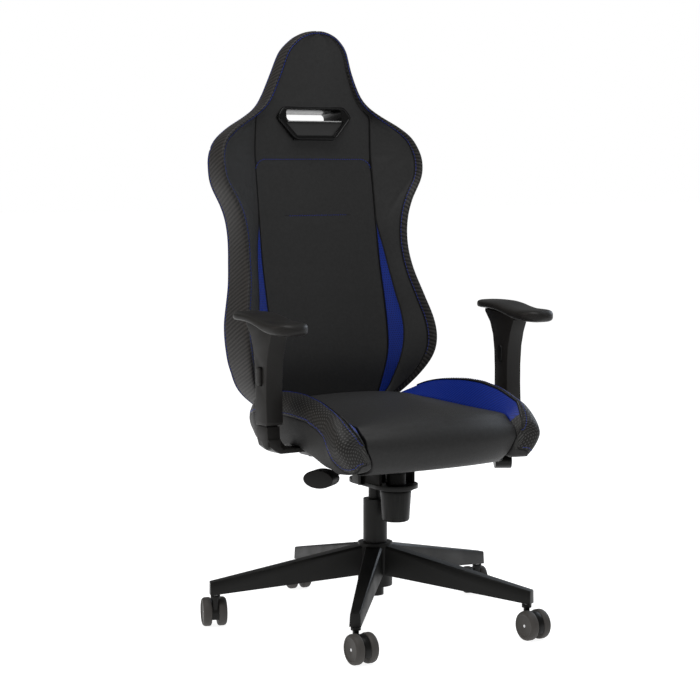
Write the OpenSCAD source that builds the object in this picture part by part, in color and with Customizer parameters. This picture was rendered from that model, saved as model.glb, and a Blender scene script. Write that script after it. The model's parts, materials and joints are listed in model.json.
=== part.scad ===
// Gaming chair with a racing style back, height-adjustable arms and a five-star caster base.
// The floor is z = 0, +Z is up, the chair faces -Y and the swivel column stands on the Z axis.

/* [Base] */
// Distance from the column axis to the tip of a leg
base_r = 347; // [330:1:365]
// Height of the top of a leg at its tip
leg_tip_top = 97; // [96:1:99]
// Height of a leg at its tip
leg_tip_h = 27; // [25:1:28]
// Height of the top of a leg at the hub
leg_hub_top = 166; // [160:1:172]
// Height of a leg at the hub
leg_hub_h = 62; // [54:1:66]
// Width of a leg at the hub
leg_hub_w = 40; // [34:1:44]
// Width of a leg at its tip
leg_tip_w = 23; // [21:1:26]
// Direction of the leg that points to the front left
leg_angle = -130.5; // [-150:0.5:-110]
// Distance from the leg tip back to the caster stem
stem_inset = 11; // [11:0.5:13]

/* [Casters] */
// Diameter of a caster wheel
wheel_d = 60; // [56:1:61]
// Width of one caster wheel
wheel_w = 18; // [16:0.5:20]
// Gap between the two wheels of a caster
wheel_gap = 13.6; // [12.6:0.2:15]
// Horizontal distance from the stem to the axle
caster_trail = 21.5; // [19:0.5:23]
// Diameter of the caster stem
stem_d = 11; // [10:0.5:11]
// Diameter of the caster axle
axle_d = 6; // [5:0.5:7]
// Radial running clearance of wheels, stems and shafts
run_gap = 0.05; // [0.02:0.01:0.08]

/* [Gas lift] */
// Outer diameter of the column tube
tube_d = 50; // [48:1:52]
// Height of the upper end of the column tube
tube_top = 260; // [245:1:264]
// Diameter of the gas cylinder
cylinder_d = 28; // [27:0.5:30]

/* [Mechanism] */
// Height of the underside of the mechanism housing
mech_z = 289; // [287:1:292]
// Distance from the column axis forward to the tension knob
knob_y = 75; // [72:1:80]
// Diameter of the tension knob
knob_d = 64; // [56:1:66]
// Height of the tension knob
knob_h = 64; // [50:1:66]
// Height of the tilt pivot
pivot_z = 346; // [342:1:350]
// Distance from the column axis to the end of a lever's rod
lever_reach = 264; // [250:1:268]
// Angle by which the levers splay forward
lever_splay = 32.4; // [29:0.2:34]

/* [Seat] */
// Overall width of the seat
seat_w = 498; // [480:1:510]
// Width of the flat centre cushion
seat_centre_w = 366; // [356:1:380]
// Height of the seat at its middle
seat_z = 455; // [445:1:465]
// Underside of the seat board
board_z = 384; // [382:1:386]
// Thickness of the seat board
board_t = 12; // [10:0.5:14]
// Distance from the column axis forward to the front of the seat
seat_front = 266; // [255:1:275]

/* [Back] */
// Angle by which the back leans behind the vertical
recline = 8.5; // [6:0.5:10]
// Distance from the column axis back to the foot of the back's front face
back_y = 165; // [163:1:175]
// Height of the back above the seat junction
back_h = 769; // [740:1:790]
// Scale of the back's half widths
back_width_scale = 1; // [0.9:0.01:1.05]
// Distance from the top of the back down to the widest part of the harness bezel
handle_drop = 179; // [173:1:189]
// Width of the harness bezel
handle_w = 187; // [170:1:190]
// Width of the opening through the bezel
grip_w = 140; // [120:1:144]
// Height of the opening through the bezel
grip_h = 25; // [20:1:26]

/* [Arms] */
// Distance from the side of the seat out to the middle of an arm post
arm_out = 47; // [43:1:55]
// Distance from the middle of an arm post out to the middle of an arm pad
pad_out = 6; // [2:1:12]
// Height of the top of an arm pad
pad_z = 664; // [660:1:680]
// Width of an arm pad
pad_w = 78; // [70:1:84]
// Length of an arm pad
pad_len = 214; // [200:1:236]
// Travel of the arm height adjustment
arm_travel = 70; // [50:1:72]

/* [Hidden] */
$fn = 64;

SIDES = ["left", "right"];
CASTERS = ["rear_left", "front_left", "front_right", "rear_right", "rear"];
// Directions in which the casters trail, in the order of CASTERS
caster_dirs = [69, -94, -90, 70, 77];

plastic = [0.09, 0.09, 0.09];
soft_plastic = [0.15, 0.15, 0.14];
leather = [0.17, 0.17, 0.17];
carbon = [0.12, 0.12, 0.11];
steel = [0.25, 0.25, 0.26];
bright = [0.6, 0.6, 0.62];

// ---- derived sizes of the base and the column ----
wheel_r = wheel_d / 2;
stem_r = base_r - stem_inset;
tip_bottom = leg_tip_top - leg_tip_h;
hub_r = tube_d / 2 + 11;
hub_bottom = 78;
hub_top = leg_hub_top + 3;
cap_r = 18;
cap_bottom = 57;
bearing_z = 64;
rod_r = 5;
rod_top = 208;
cylinder_r = cylinder_d / 2;
cylinder_bottom = 98;
cylinder_top = 330;
cylinder_bore_r = 11;
valve_r = 4;

// ---- derived sizes of the mechanism ----
knob_r = knob_d / 2;
knob_bottom = mech_z - 1 - knob_h;
pivot_y = 18;
pin_r = 5;
plate_t = 6;
plate_z = board_z - plate_t;
neck_r = 27;
skirt_r = 42;
skirt_z = mech_z + 4;
housing_top = 358;
wall_x = 44;
spring_r = 17;
bolt_r = 5;
lever_z = 341;
lever_r = 5;
lever_pivot = 50;
lever_pin_r = 3;
paddle_w = 64;
paddle_t = 34;
paddle_h = 36;
valve_top = lever_z - lever_r - 0.2;

// ---- derived sizes of the seat, the arms and the back ----
board_top = board_z + board_t;
board_x = seat_w / 2 - 44;
foot_t = 8;
foot_z = board_z - foot_t;
arm_x = seat_w / 2 + arm_out;
pad_x = arm_x + pad_out;
arm_y = -64;
post_w = 24;
post_d = 26;
sleeve_w = 37;
sleeve_bottom = 444;
sleeve_top = 646;
post_top = sleeve_bottom + 112;
back_z = seat_z + 11;
handle_z = back_h - handle_drop;
bar_w = 70;
bar_t = 8;
bar_y = 53;
bar_top = 170;

// Half widths of the back's outline, at heights above the seat junction
outline = [
    [-45, 118], [-20, 162], [20, 207], [65, 231], [110, 237], [155, 233],
    [200, 222], [255, 210], [320, 204], [370, 208], [410, 221], [455, 245],
    [490, 251], [520, 247], [550, 232], [575, 203], [600, 161], [620, 133],
    [645, 114], [690, 94], [735, 77], [758, 57], [770, 38], [777, 14]
];
// How far the middle of the back's front face stands ahead of its straight line
crown = [[-45, -6], [0, 0], [90, 12], [200, 6], [300, 0], [500, 0], [600, 15], [690, 34], [777, 62]];
// How far the edges of the wings stand ahead of the middle of the front face
wing_lead = [
    [-45, 4], [-20, 12], [20, 34], [65, 62], [110, 72], [200, 60], [320, 42],
    [410, 48], [490, 58], [550, 44], [600, 24], [645, 12], [777, 2]
];
// Depth of the side band from the edge of a wing to the back
band = [[-45, 40], [20, 66], [110, 86], [320, 70], [490, 62], [600, 50], [777, 34]];
// Half width of the centre panel between the wings
panel = [[-45, 104], [0, 122], [110, 146], [200, 149], [490, 147], [610, 144], [777, 120]];
// Thickness of the back at its middle
depth = [[-45, 84], [110, 90], [200, 85], [320, 78], [490, 78], [600, 66], [777, 40]];

function half_width(z) = back_width_scale * lookup(z * 777 / back_h, outline);
function lead_y(z) = -lookup(z * 777 / back_h, crown);
function wing_y(z) = lead_y(z) - lookup(z * 777 / back_h, wing_lead);
function band_y(z) = wing_y(z) + lookup(z * 777 / back_h, band);
function panel_x(z) = min(back_width_scale * lookup(z * 777 / back_h, panel), half_width(z) - 9);
function rear_y(z) = lead_y(z) + lookup(z * 777 / back_h, depth);

function flip(side) = side == "left" ? -1 : 1;
function reversed(list) = [for (k = [len(list) - 1 : -1 : 0]) list[k]];

// ---- shapes that repeat ----

// A closed skin through rings that hold the same number of points
module loft(rings) {
    n = len(rings[0]);
    m = len(rings);
    sides = [
        for (i = [0 : m - 2], j = [0 : n - 1])
            [i * n + j, (i + 1) * n + j, (i + 1) * n + (j + 1) % n, i * n + (j + 1) % n]
    ];
    first = [[for (j = [0 : n - 1]) j]];
    last = [[for (j = [n - 1 : -1 : 0]) (m - 1) * n + j]];
    polyhedron(points = [for (r = rings, p = r) p], faces = concat(sides, first, last), convexity = 8);
}

// A plan outline of two round ends joined by straight sides
module pear(r_front, y_front, r_rear, y_rear) {
    translate([0, y_front])
        circle(r = r_front);
    translate([0, y_rear])
        circle(r = r_rear);
    polygon([
        [-r_front, y_front], [r_front, y_front],
        [r_rear, y_rear], [-r_rear, y_rear]
    ]);
}

// A rectangle with round corners, centred
module round_rect(w, h, r) {
    square([w, h - 2 * r], center = true);
    square([w - 2 * r, h], center = true);
    for (x = [-1, 1], y = [-1, 1])
        translate([x * (w / 2 - r), y * (h / 2 - r)])
            circle(r = r);
}

// Extrudes a profile drawn in Y and Z along X, centred
module along_x(width) {
    translate([-width / 2, 0, 0])
        rotate([90, 0, 90])
            linear_extrude(width)
                children();
}

// A bar with a round section along X
module rod_x(r, x0, x1) {
    translate([x0, 0, 0])
        rotate([0, 90, 0])
            cylinder(r = r, h = x1 - x0);
}

// Moves into the frame of the leaning back: z runs up its front face and y points backwards
module in_back() {
    translate([0, back_y, back_z])
        rotate([-recline, 0, 0])
            children();
}

// Places what belongs to a caster, with x along the trail and the stem on the Z axis
module at_caster(i) {
    rotate([0, 0, leg_angle + 72 * (i - 1)])
        translate([stem_r, 0, 0])
            rotate([0, 0, caster_dirs[i] - leg_angle - 72 * (i - 1)])
                children();
}

// ---- base and casters ----

module leg_section(w, h, bevel) {
    polygon([
        [-w / 2, -h], [w / 2, -h], [w / 2 - 1.5, -bevel],
        [w / 2 - bevel, 0], [-w / 2 + bevel, 0], [-w / 2 + 1.5, -bevel]
    ]);
}

module leg() {
    hull() {
        translate([20, 0, leg_hub_top])
            rotate([90, 0, 90])
                linear_extrude(1)
                    leg_section(leg_hub_w, leg_hub_h, 5);
        translate([base_r - 1, 0, leg_tip_top])
            rotate([90, 0, 90])
                linear_extrude(1)
                    leg_section(leg_tip_w, leg_tip_h, 3);
    }
}

module base_star() {
    color(plastic)
        difference() {
            union() {
                for (i = [0 : 4])
                    rotate([0, 0, leg_angle + 72 * (i - 1)])
                        leg();
                translate([0, 0, hub_bottom])
                    rotate([0, 0, leg_angle + 36])
                        cylinder(r = hub_r, h = hub_top - hub_bottom);
            }
            translate([0, 0, hub_bottom - 1])
                rotate([0, 0, leg_angle + 36])
                    cylinder(r = tube_d / 2, h = hub_top - hub_bottom + 2);
            for (i = [0 : 4])
                rotate([0, 0, leg_angle + 72 * (i - 1)])
                    translate([stem_r, 0, tip_bottom - 10])
                        cylinder(r = stem_d / 2 + run_gap, h = 10 + leg_tip_h - 4);
        }
}

module caster_pins(i) {
    color(bright)
        at_caster(i) {
            translate([0, 0, wheel_r + 22])
                cylinder(r = stem_d / 2, h = tip_bottom + leg_tip_h - 5 - wheel_r - 22);
            translate([caster_trail, 0, wheel_r])
                rotate([90, 0, 0])
                    cylinder(r = axle_d / 2, h = wheel_gap + 2 * wheel_w - 4, center = true);
        }
}

module caster_hood(i) {
    hood_w = wheel_gap - 1;
    color(plastic)
        at_caster(i)
            difference() {
                union() {
                    translate([caster_trail, 0, wheel_r])
                        rotate([90, 0, 0])
                            cylinder(r = wheel_r - 2, h = hood_w, center = true);
                    translate([0, 0, wheel_r + 8])
                        cylinder(r = hood_w / 2, h = tip_bottom - 8 - wheel_r - 8);
                    translate([0, 0, tip_bottom - 8])
                        cylinder(r = 10, h = 6.5);
                }
                translate([caster_trail, 0, 5])
                    cube([wheel_d, hood_w + 1, 24], center = true);
                translate([0, 0, wheel_r + 22])
                    cylinder(r = stem_d / 2, h = 60);
                translate([caster_trail, 0, wheel_r])
                    rotate([90, 0, 0])
                        cylinder(r = axle_d / 2, h = hood_w + 2, center = true);
            }
}

// A wheel on the side of its hood that sign names
module caster_wheel(i, sign) {
    r0 = axle_d / 2 + run_gap;
    color(soft_plastic)
        at_caster(i)
            translate([caster_trail, sign * wheel_gap / 2, wheel_r])
                rotate([-90 * sign, 0, 0])
                    rotate_extrude()
                        polygon([
                            [r0, 0], [wheel_r - 3, 0], [wheel_r - 0.8, 1.2], [wheel_r, 4],
                            [wheel_r, wheel_w - 6], [wheel_r - 1.2, wheel_w - 2.4],
                            [wheel_r - 4, wheel_w], [wheel_r - 7.5, wheel_w],
                            [wheel_r - 8.5, wheel_w - 1.6], [r0, wheel_w - 1.6]
                        ]);
}

// ---- gas lift ----

module column_tube() {
    color(plastic)
        difference() {
            union() {
                translate([0, 0, 84])
                    cylinder(r = tube_d / 2, h = tube_top - 3 - 84);
                translate([0, 0, cap_bottom])
                    cylinder(r = cap_r, h = 84 - cap_bottom);
            }
            translate([0, 0, 88])
                cylinder(r = tube_d / 2 - 2, h = tube_top);
            translate([0, 0, bearing_z])
                cylinder(r = cap_r - 2, h = 30);
            translate([0, 0, cap_bottom - 1])
                cylinder(r = rod_r + 3, h = 20);
        }
}

module guide_bush() {
    color([0.12, 0.12, 0.13])
        difference() {
            union() {
                translate([0, 0, tube_top - 3])
                    cylinder(r = tube_d / 2, h = 3);
                translate([0, 0, tube_top - 63])
                    cylinder(r = tube_d / 2 - 2, h = 60);
            }
            translate([0, 0, tube_top - 64])
                cylinder(r = cylinder_r + run_gap, h = 66);
        }
}

module thrust_bearing() {
    color(bright)
        translate([0, 0, bearing_z])
            difference() {
                cylinder(r = cap_r - 2, h = 8);
                translate([0, 0, -1])
                    cylinder(r = rod_r + run_gap, h = 10);
            }
}

module piston_rod() {
    color(bright) {
        translate([0, 0, cap_bottom - 3])
            cylinder(r = rod_r, h = rod_top - cap_bottom + 3);
        translate([0, 0, rod_top])
            cylinder(r = cylinder_bore_r - run_gap, h = 8);
        translate([0, 0, bearing_z + 8.2])
            cylinder(r = rod_r + 3, h = 3);
        translate([0, 0, cap_bottom - 3])
            cylinder(r = rod_r + 4, h = 2.5);
    }
}

module gas_cylinder() {
    color([0.14, 0.14, 0.15])
        difference() {
            translate([0, 0, cylinder_bottom])
                cylinder(r = cylinder_r, h = cylinder_top - 22 - cylinder_bottom);
            translate([0, 0, cylinder_bottom + 12])
                cylinder(r = cylinder_bore_r, h = cylinder_top - 34 - cylinder_bottom - 12);
            translate([0, 0, cylinder_bottom - 1])
                cylinder(r = rod_r + run_gap, h = 20);
            translate([0, 0, cylinder_top - 50])
                cylinder(r = valve_r + run_gap, h = 60);
        }
}

module valve_pin() {
    color(bright)
        translate([0, 0, cylinder_top - 40])
            cylinder(r = valve_r, h = valve_top - cylinder_top + 40);
}

// ---- mechanism ----

module mechanism_housing() {
    color(plastic)
        difference() {
            union() {
                translate([0, 0, mech_z])
                    linear_extrude(skirt_z - mech_z)
                        pear(knob_r + 4, -knob_y, neck_r, 8);
                translate([0, 0, skirt_z])
                    linear_extrude(8)
                        pear(skirt_r + 6, -knob_y + 4, skirt_r, 22);
                for (x = [-1, 1])
                    translate([x * (wall_x - 3), -30, (skirt_z + housing_top) / 2])
                        cube([6, 100, housing_top - skirt_z], center = true);
                translate([0, 0, skirt_z])
                    cylinder(r = neck_r, h = 20);
                translate([0, -knob_y, skirt_z])
                    cylinder(r = spring_r + 4, h = 30);
                // lugs that carry the lift lever's cross pin
                at_lever("left")
                    for (y = [-14, 8.5])
                        translate([lever_pivot - 6, y, skirt_z - lever_z + 2])
                            cube([12, 5.5, lever_z - skirt_z + 5]);
            }
            // seat of the gas cylinder
            translate([0, 0, mech_z - 1])
                cylinder(r = cylinder_r, h = 60);
            // pocket of the tension spring and bore of its bolt
            translate([0, -knob_y, mech_z + 8])
                cylinder(r = spring_r + 0.5, h = 60);
            translate([0, -knob_y, mech_z - 1])
                cylinder(r = bolt_r + run_gap, h = 20);
            // bores of the tilt pivot
            translate([0, pivot_y, pivot_z])
                rotate([0, 90, 0])
                    cylinder(r = pin_r, h = 200, center = true);
            // windows for the two levers
            for (side = SIDES)
                at_lever(side)
                    translate([lever_pivot, 0, 0])
                        cube([60, 16, 22], center = true);
            at_lever("left")
                translate([lever_pivot, 0, 0])
                    rotate([90, 0, 0])
                        cylinder(r = lever_pin_r + run_gap, h = 40, center = true);
        }
}

module tilt_pivot_pin() {
    color(bright)
        translate([0, pivot_y, pivot_z])
            rod_x(pin_r, -wall_x - 9, wall_x + 9);
}

module tension_spring() {
    color(steel)
        translate([0, -knob_y, mech_z + 8])
            for (i = [0 : 4])
                translate([0, 0, 2.5 + 6 * i])
                    rotate_extrude()
                        translate([spring_r - 2.5, 0])
                            circle(r = 2.4);
}

module tension_knob() {
    color(plastic)
        translate([0, -knob_y, knob_bottom])
            rotate_extrude()
                polygon([
                    [bolt_r, 0], [knob_r - 9, 0], [knob_r - 5.5, 1.5], [knob_r - 3.6, 5],
                    [knob_r, knob_h - 3], [knob_r - 1, knob_h], [knob_r - 5, knob_h],
                    [knob_r - 8, 14], [bolt_r + 6, 14], [bolt_r + 6, knob_h], [bolt_r, knob_h]
                ]);
}

module tension_bolt() {
    color(steel)
        translate([0, -knob_y, 0]) {
            translate([0, 0, knob_bottom + 4])
                cylinder(r = bolt_r, h = mech_z + 40 - knob_bottom - 4);
            translate([0, 0, mech_z + 40])
                cylinder(r = 9, h = 6, $fn = 6);
        }
}

// Moves into the frame of a lever: x runs out along its rod
module at_lever(side) {
    translate([0, 0, lever_z])
        rotate([0, 0, side == "left" ? 180 + lever_splay : -lever_splay])
            children();
}

module lift_lever() {
    color(steel)
        at_lever("left") {
            rod_x(lever_r, -4, lever_reach - 4);
            translate([lever_pivot, 0, 0])
                rotate([90, 0, 0])
                    cylinder(r = lever_pin_r, h = 27, center = true);
        }
}

// An oval paddle that stands on edge at the end of a lever
module paddle(side) {
    color(plastic)
        at_lever(side)
            difference() {
                translate([lever_reach + 1, 0, 0])
                    rotate([0, 90, 0])
                        scale([paddle_h / paddle_w, 1, 1])
                            cylinder(r = paddle_w / 2, h = paddle_t, center = true);
                rod_x(lever_r, 0, lever_reach - 4);
            }
}

module lift_paddle() {
    paddle("left");
}

module tilt_lock_lever() {
    color(steel)
        at_lever("right")
            rod_x(lever_r, 34, lever_reach - 4);
}

module tilt_lock_paddle() {
    paddle("right");
}

// ---- seat ----

module seat_plate() {
    ear_x = wall_x + 6;
    color(steel)
        difference() {
            union() {
                translate([0, 10, plate_z + plate_t / 2])
                    cube([170, 190, plate_t], center = true);
                for (x = [-1, 1])
                    translate([x * ear_x, pivot_y, (plate_z + pivot_z - 9) / 2])
                        cube([5, 40, plate_z - pivot_z + 9], center = true);
            }
            translate([0, pivot_y, pivot_z])
                rotate([0, 90, 0])
                    cylinder(r = pin_r + run_gap, h = 200, center = true);
            for (x = [-70, 70], y = [-70, 90])
                translate([x, y, plate_z - 1])
                    cylinder(r = 4.5, h = 10);
        }
}

// Places of the bolts that come up into the seat board
plate_bolts = [[-70, -70], [70, -70], [-70, 90], [70, 90]];
foot_bolts = [for (s = [-1, 1], x = [150, 190], y = [-11, 11]) [s * x, arm_y + y]];

module seat_board() {
    color([0.3, 0.24, 0.18])
        difference() {
            translate([0, -28, board_z])
                linear_extrude(board_t)
                    round_rect(2 * board_x, 316, max(12, board_x - seat_centre_w / 2 + 18));
            for (p = concat(plate_bolts, foot_bolts))
                translate([p[0], p[1], board_z - 1])
                    cylinder(r = 4, h = board_t - 1);
        }
}

module m8_bolts() {
    color(steel) {
        for (p = plate_bolts) {
            translate([p[0], p[1], plate_z - 5])
                cylinder(r = 6.5, h = 5, $fn = 6);
            translate([p[0], p[1], plate_z])
                cylinder(r = 4, h = plate_t + board_t - 2);
        }
        for (p = foot_bolts) {
            translate([p[0], p[1], foot_z - 5])
                cylinder(r = 6.5, h = 5, $fn = 6);
            translate([p[0], p[1], foot_z])
                cylinder(r = 4, h = foot_t + board_t - 2);
        }
        for (x = [-20, 20], z = [70, 130])
            in_back() {
                translate([x, bar_y + bar_t, z])
                    rotate([-90, 0, 0])
                        cylinder(r = 6.5, h = 5, $fn = 6);
                translate([x, bar_y - 10, z])
                    rotate([-90, 0, 0])
                        cylinder(r = 4, h = bar_t + 10);
            }
    }
}

module seat_cushion() {
    color(leather)
        along_x(seat_centre_w)
            polygon([
                [118, board_top + 0.5], [146, board_top + 12], [152, seat_z - 12], [140, seat_z + 6],
                [60, seat_z + 4], [-80, seat_z], [-200, seat_z - 3], [-232, seat_z - 9],
                [-seat_front + 12, seat_z - 25], [-seat_front + 1, seat_z - 48],
                [-seat_front + 4, seat_z - 76], [-seat_front + 18, seat_z - 96],
                [-seat_front + 40, seat_z - 105], [-200, seat_z - 104],
                [-192, board_z], [-192, board_top + 0.5]
            ]);
}

// One ring of a side bolster at a distance y: bottom, crest, how far it bulges and how deep it hangs
function bolster_ring(s, y, bottom, crest, bulge, hang) =
    let (x0 = seat_centre_w / 2 + 0.6, x1 = seat_w / 2 - 22 + 22 * bulge)
    [for (p = [
        [x0, bottom], [x1 - 28, bottom], [x1 - 24, bottom - hang],
        [x1 - 10, bottom - hang], [x1 - 3, bottom + (crest - bottom) * 0.28],
        [x1, bottom + (crest - bottom) * 0.6], [x1 - 6, crest - 14], [x1 - 18, crest - 2],
        [x1 - 32, crest], [x0, crest - 14 * bulge - 12]
    ]) [s * p[0], y, p[1]]];

module seat_bolster(side) {
    s = flip(side);
    low = board_top + 0.5;
    stations = [
        [104, low, seat_z + 12, 0.7, -3], [80, low, seat_z + 26, 0.9, -3], [20, low, seat_z + 38, 1, -3],
        [-60, low, seat_z + 42, 1, -3], [-87, low, seat_z + 41, 1, -3], [-92, low, seat_z + 40, 1, 6],
        [-130, low, seat_z + 36, 1, 14], [-184, low, seat_z + 24, 0.94, 28],
        [-188, seat_z - 86, seat_z + 23, 0.93, 4], [-215, seat_z - 96, seat_z + 8, 0.82, 2],
        [-238, seat_z - 97, seat_z - 8, 0.55, 1], [-252, seat_z - 88, seat_z - 30, 0.2, 0]
    ];
    rings = [for (t = stations) bolster_ring(s, t[0], t[1], t[2], t[3], t[4])];
    color(carbon)
        loft(s > 0 ? rings : [for (r = rings) reversed(r)]);
}

// ---- back ----

// Where a point of the leaning back's frame comes to in the frame of the whole chair
function back_point(y, z) = [
    back_y + y * cos(recline) + z * sin(recline),
    back_z - y * sin(recline) + z * cos(recline)
];

module back_bar() {
    rear = bar_y + bar_t;
    rear_foot = (foot_z - back_z + rear * sin(recline)) / cos(recline);
    front_foot = (foot_z + bar_t - back_z + bar_y * sin(recline)) / cos(recline);
    color(steel)
        difference() {
            translate([-bar_w / 2, 0, 0])
                rotate([90, 0, 90])
                    linear_extrude(bar_w)
                        polygon([
                            [105.2, foot_z], back_point(rear, rear_foot), back_point(rear, bar_top),
                            back_point(bar_y, bar_top), back_point(bar_y, front_foot), [105.2, foot_z + bar_t]
                        ]);
            in_back()
                for (x = [-20, 20], z = [70, 130])
                    translate([x, bar_y - 1, z])
                        rotate([-90, 0, 0])
                            cylinder(r = 4, h = bar_t + 2);
        }
}

heights = [for (p = outline) p[0] * back_h / 777];
cushion_rear = 40;

function frame_x(z) = 0.62 * half_width(z);

module back_frame() {
    color([0.2, 0.2, 0.2])
        in_back()
            translate([0, bar_y - 0.2, 0])
                rotate([90, 0, 0])
                    difference() {
                        linear_extrude(12)
                            difference() {
                                polygon(concat(
                                    [for (z = heights) if (z > 10 && z < handle_z - 60) [frame_x(z), z]],
                                    [for (k = [len(heights) - 1 : -1 : 0])
                                        let (z = heights[k]) if (z > 10 && z < handle_z - 60) [-frame_x(z), z]]
                                ));
                                translate([0, back_h * 0.43])
                                    round_rect(230, back_h * 0.39, 40);
                            }
                        for (x = [-20, 20], z = [70, 130])
                            translate([x, z, -1])
                                cylinder(r = 4, h = 12.1);
                    }
}

// The bezel's six-sided outline, grown by a clearance
module handle_outline(grow) {
    side_x = handle_w / 2 + grow;
    polygon([
        [-side_x, 0], [17 - side_x, 21 + grow], [side_x - 17, 21 + grow],
        [side_x, 0], [side_x - 43, -47 - grow], [43 - side_x, -47 - grow]
    ]);
}

module handle_hole(grow, y0, y1) {
    in_back()
        translate([0, y1, handle_z])
            rotate([90, 0, 0])
                linear_extrude(y1 - y0)
                    handle_outline(grow);
}

module trim_outline() {
    polygon([[-74, -9], [74, -9], [46, -40], [-46, -40]]);
}

// Inner face of the rear shell at height z, a distance x from the middle
function shell_inner(x, z) =
    let (xo = half_width(z) * 0.93, xi = xo * 0.62, t = min(max((x - xi) / (xo - xi), 0), 1))
    (rear_y(z) - 9) * (1 - t) + (band_y(z) + 7) * t;

// Rear of the padding, held clear of the shell
function pad_rear(x, z) = min(lead_y(z) + cushion_rear, rear_y(z) - 16, shell_inner(x, z) - 4);

// Ring of the centre cushion at height z
function centre_ring(z) =
    let (x = panel_x(z), y = lead_y(z), w = (wing_y(z) - y) * 0.12)
    [
        [-x, y + w, z], [-x * 0.6, y, z], [x * 0.6, y, z], [x, y + w, z],
        [x, pad_rear(x, z), z], [-x, pad_rear(x, z), z]
    ];

module back_cushion() {
    color(leather)
        difference() {
            in_back()
                loft([for (z = heights) centre_ring(z)]);
            handle_hole(0.5, -80, 120);
        }
}

// Ring of a wing at height z, from the centre seam round the front edge to the rear
function wing_ring(s, z) =
    let (x0 = panel_x(z) + 0.5, x1 = half_width(z), y0 = lead_y(z), yw = wing_y(z), yb = band_y(z),
         yr = pad_rear(x0, z))
    [for (p = [
        [x0, y0 + (yw - y0) * 0.12], [x0 + (x1 - x0) * 0.45, y0 + (yw - y0) * 0.5],
        [x0 + (x1 - x0) * 0.8, y0 + (yw - y0) * 0.95], [x1 - (x1 - x0) * 0.08, yw + 2],
        [x1, yw + 12], [x1, max(yb, yw + 16)],
        [x0 + (x1 - x0) * 0.9, max(yb + 1, yw + 17)], [x0, yr]
    ]) [s * p[0], p[1], z]];

module back_wing(side) {
    s = flip(side);
    rings = [for (z = heights) wing_ring(s, z)];
    color(carbon)
        in_back()
            loft(s > 0 ? rings : [for (r = rings) reversed(r)]);
}

// Ring of the rear shell at height z: a skin that closes the back from behind
function shell_ring(z) =
    let (x = half_width(z) * 0.93, xi = x * 0.62, yi = rear_y(z) - 9, ye = band_y(z) + 7,
         yr = rear_y(z))
    [
        [-x, ye, z], [-xi, yi, z], [xi, yi, z], [x, ye, z],
        [x - 1, ye + 7, z], [xi * 1.05, yr, z], [-xi * 1.05, yr, z], [1 - x, ye + 7, z]
    ];

module rear_shell() {
    color(plastic)
        difference() {
            in_back()
                loft([for (z = heights) if (z > -40 && z < 772) shell_ring(z)]);
            handle_hole(0.5, -80, 160);
        }
}

module handle_bezel() {
    color([0.07, 0.07, 0.07])
        difference() {
            handle_hole(0, lead_y(handle_z) - 5, rear_y(handle_z) + 2);
            in_back()
                translate([0, 150, handle_z + 5])
                    rotate([90, 0, 0])
                        linear_extrude(250)
                            round_rect(grip_w, grip_h, 8);
            in_back()
                translate([0, lead_y(handle_z) + 1, handle_z])
                    rotate([90, 0, 0])
                        linear_extrude(20)
                            trim_outline();
        }
}

module handle_trim_plate() {
    color([0.2, 0.2, 0.2])
        in_back()
            translate([0, lead_y(handle_z) + 1, handle_z])
                rotate([90, 0, 0])
                    linear_extrude(3)
                        trim_outline();
}

// ---- arms ----

module arm_bracket(side) {
    s = flip(side);
    color(soft_plastic)
        difference() {
            union() {
                // upright post inside the sleeve
                translate([s * arm_x, arm_y, 0])
                    translate([-post_w / 2, -post_d / 2, 424])
                        cube([post_w, post_d, post_top - 424]);
                // shield below the sleeve
                translate([s * arm_x - 14, 0, 0])
                    rotate([90, 0, 90])
                        linear_extrude(28)
                            polygon([
                                [arm_y - 17, 441], [arm_y + 22, 441], [arm_y + 24, 428], [arm_y + 20, 417],
                                [arm_y + 4, 411], [arm_y - 2, 402], [arm_y - 14, 396], [arm_y - 20, 402]
                            ]);
                // knee and foot under the seat board
                translate([0, arm_y + 22, 0])
                    rotate([90, 0, 0])
                        linear_extrude(44)
                            polygon([
                                [s * (arm_x + 14), 416], [s * (arm_x + 10), 402], [s * (arm_x - 2), 393],
                                [s * (arm_x - 14), 387], [s * (board_x + 17), 387], [s * (board_x + 4), foot_z],
                                [s * 128, foot_z], [s * 128, board_z], [s * (board_x + 0.6), board_z],
                                [s * (board_x + 8), 395], [s * (arm_x - 20), 395], [s * (arm_x - 14), 402],
                                [s * (arm_x - 14), 416]
                            ]);
            }
            for (p = foot_bolts)
                translate([p[0], p[1], foot_z - 1])
                    cylinder(r = 4, h = foot_t + 2);
            // pocket for the height button's bolt
            translate([s * (arm_x + post_w / 2), arm_y + 2, 540])
                cube([12, 16, 40], center = true);
        }
}

// Outline of a sleeve in Y and Z: flared at the top, narrow in the middle
module sleeve_outline() {
    polygon([
        [arm_y - 24, sleeve_bottom + 6], [arm_y - 20, sleeve_bottom], [arm_y + 18, sleeve_bottom],
        [arm_y + 21, sleeve_bottom + 8], [arm_y + 21, 520], [arm_y + 23, 560], [arm_y + 28, 592],
        [arm_y + 38, 618], [arm_y + 56, sleeve_top - 6], [arm_y + 56, sleeve_top],
        [arm_y - 8, sleeve_top - 6], [arm_y - 42, sleeve_top - 17], [arm_y - 42, 624],
        [arm_y - 32, 600], [arm_y - 25, 570], [arm_y - 22, 530], [arm_y - 22, 490]
    ]);
}

module arm_sleeve(side) {
    s = flip(side);
    color(soft_plastic)
        difference() {
            translate([s * arm_x, 0, 0])
                along_x(sleeve_w)
                    sleeve_outline();
            // shaft for the post over the whole travel
            translate([s * arm_x - post_w / 2 - 0.4, arm_y - post_d / 2 - 0.4, sleeve_bottom - 1])
                cube([post_w + 0.8, post_d + 0.8, post_top - sleeve_bottom + 7]);
            // slot of the height button
            translate([s * (arm_x + sleeve_w / 2), arm_y + 2, 540])
                cube([16, 14.8, 36.8], center = true);
        }
}

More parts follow.
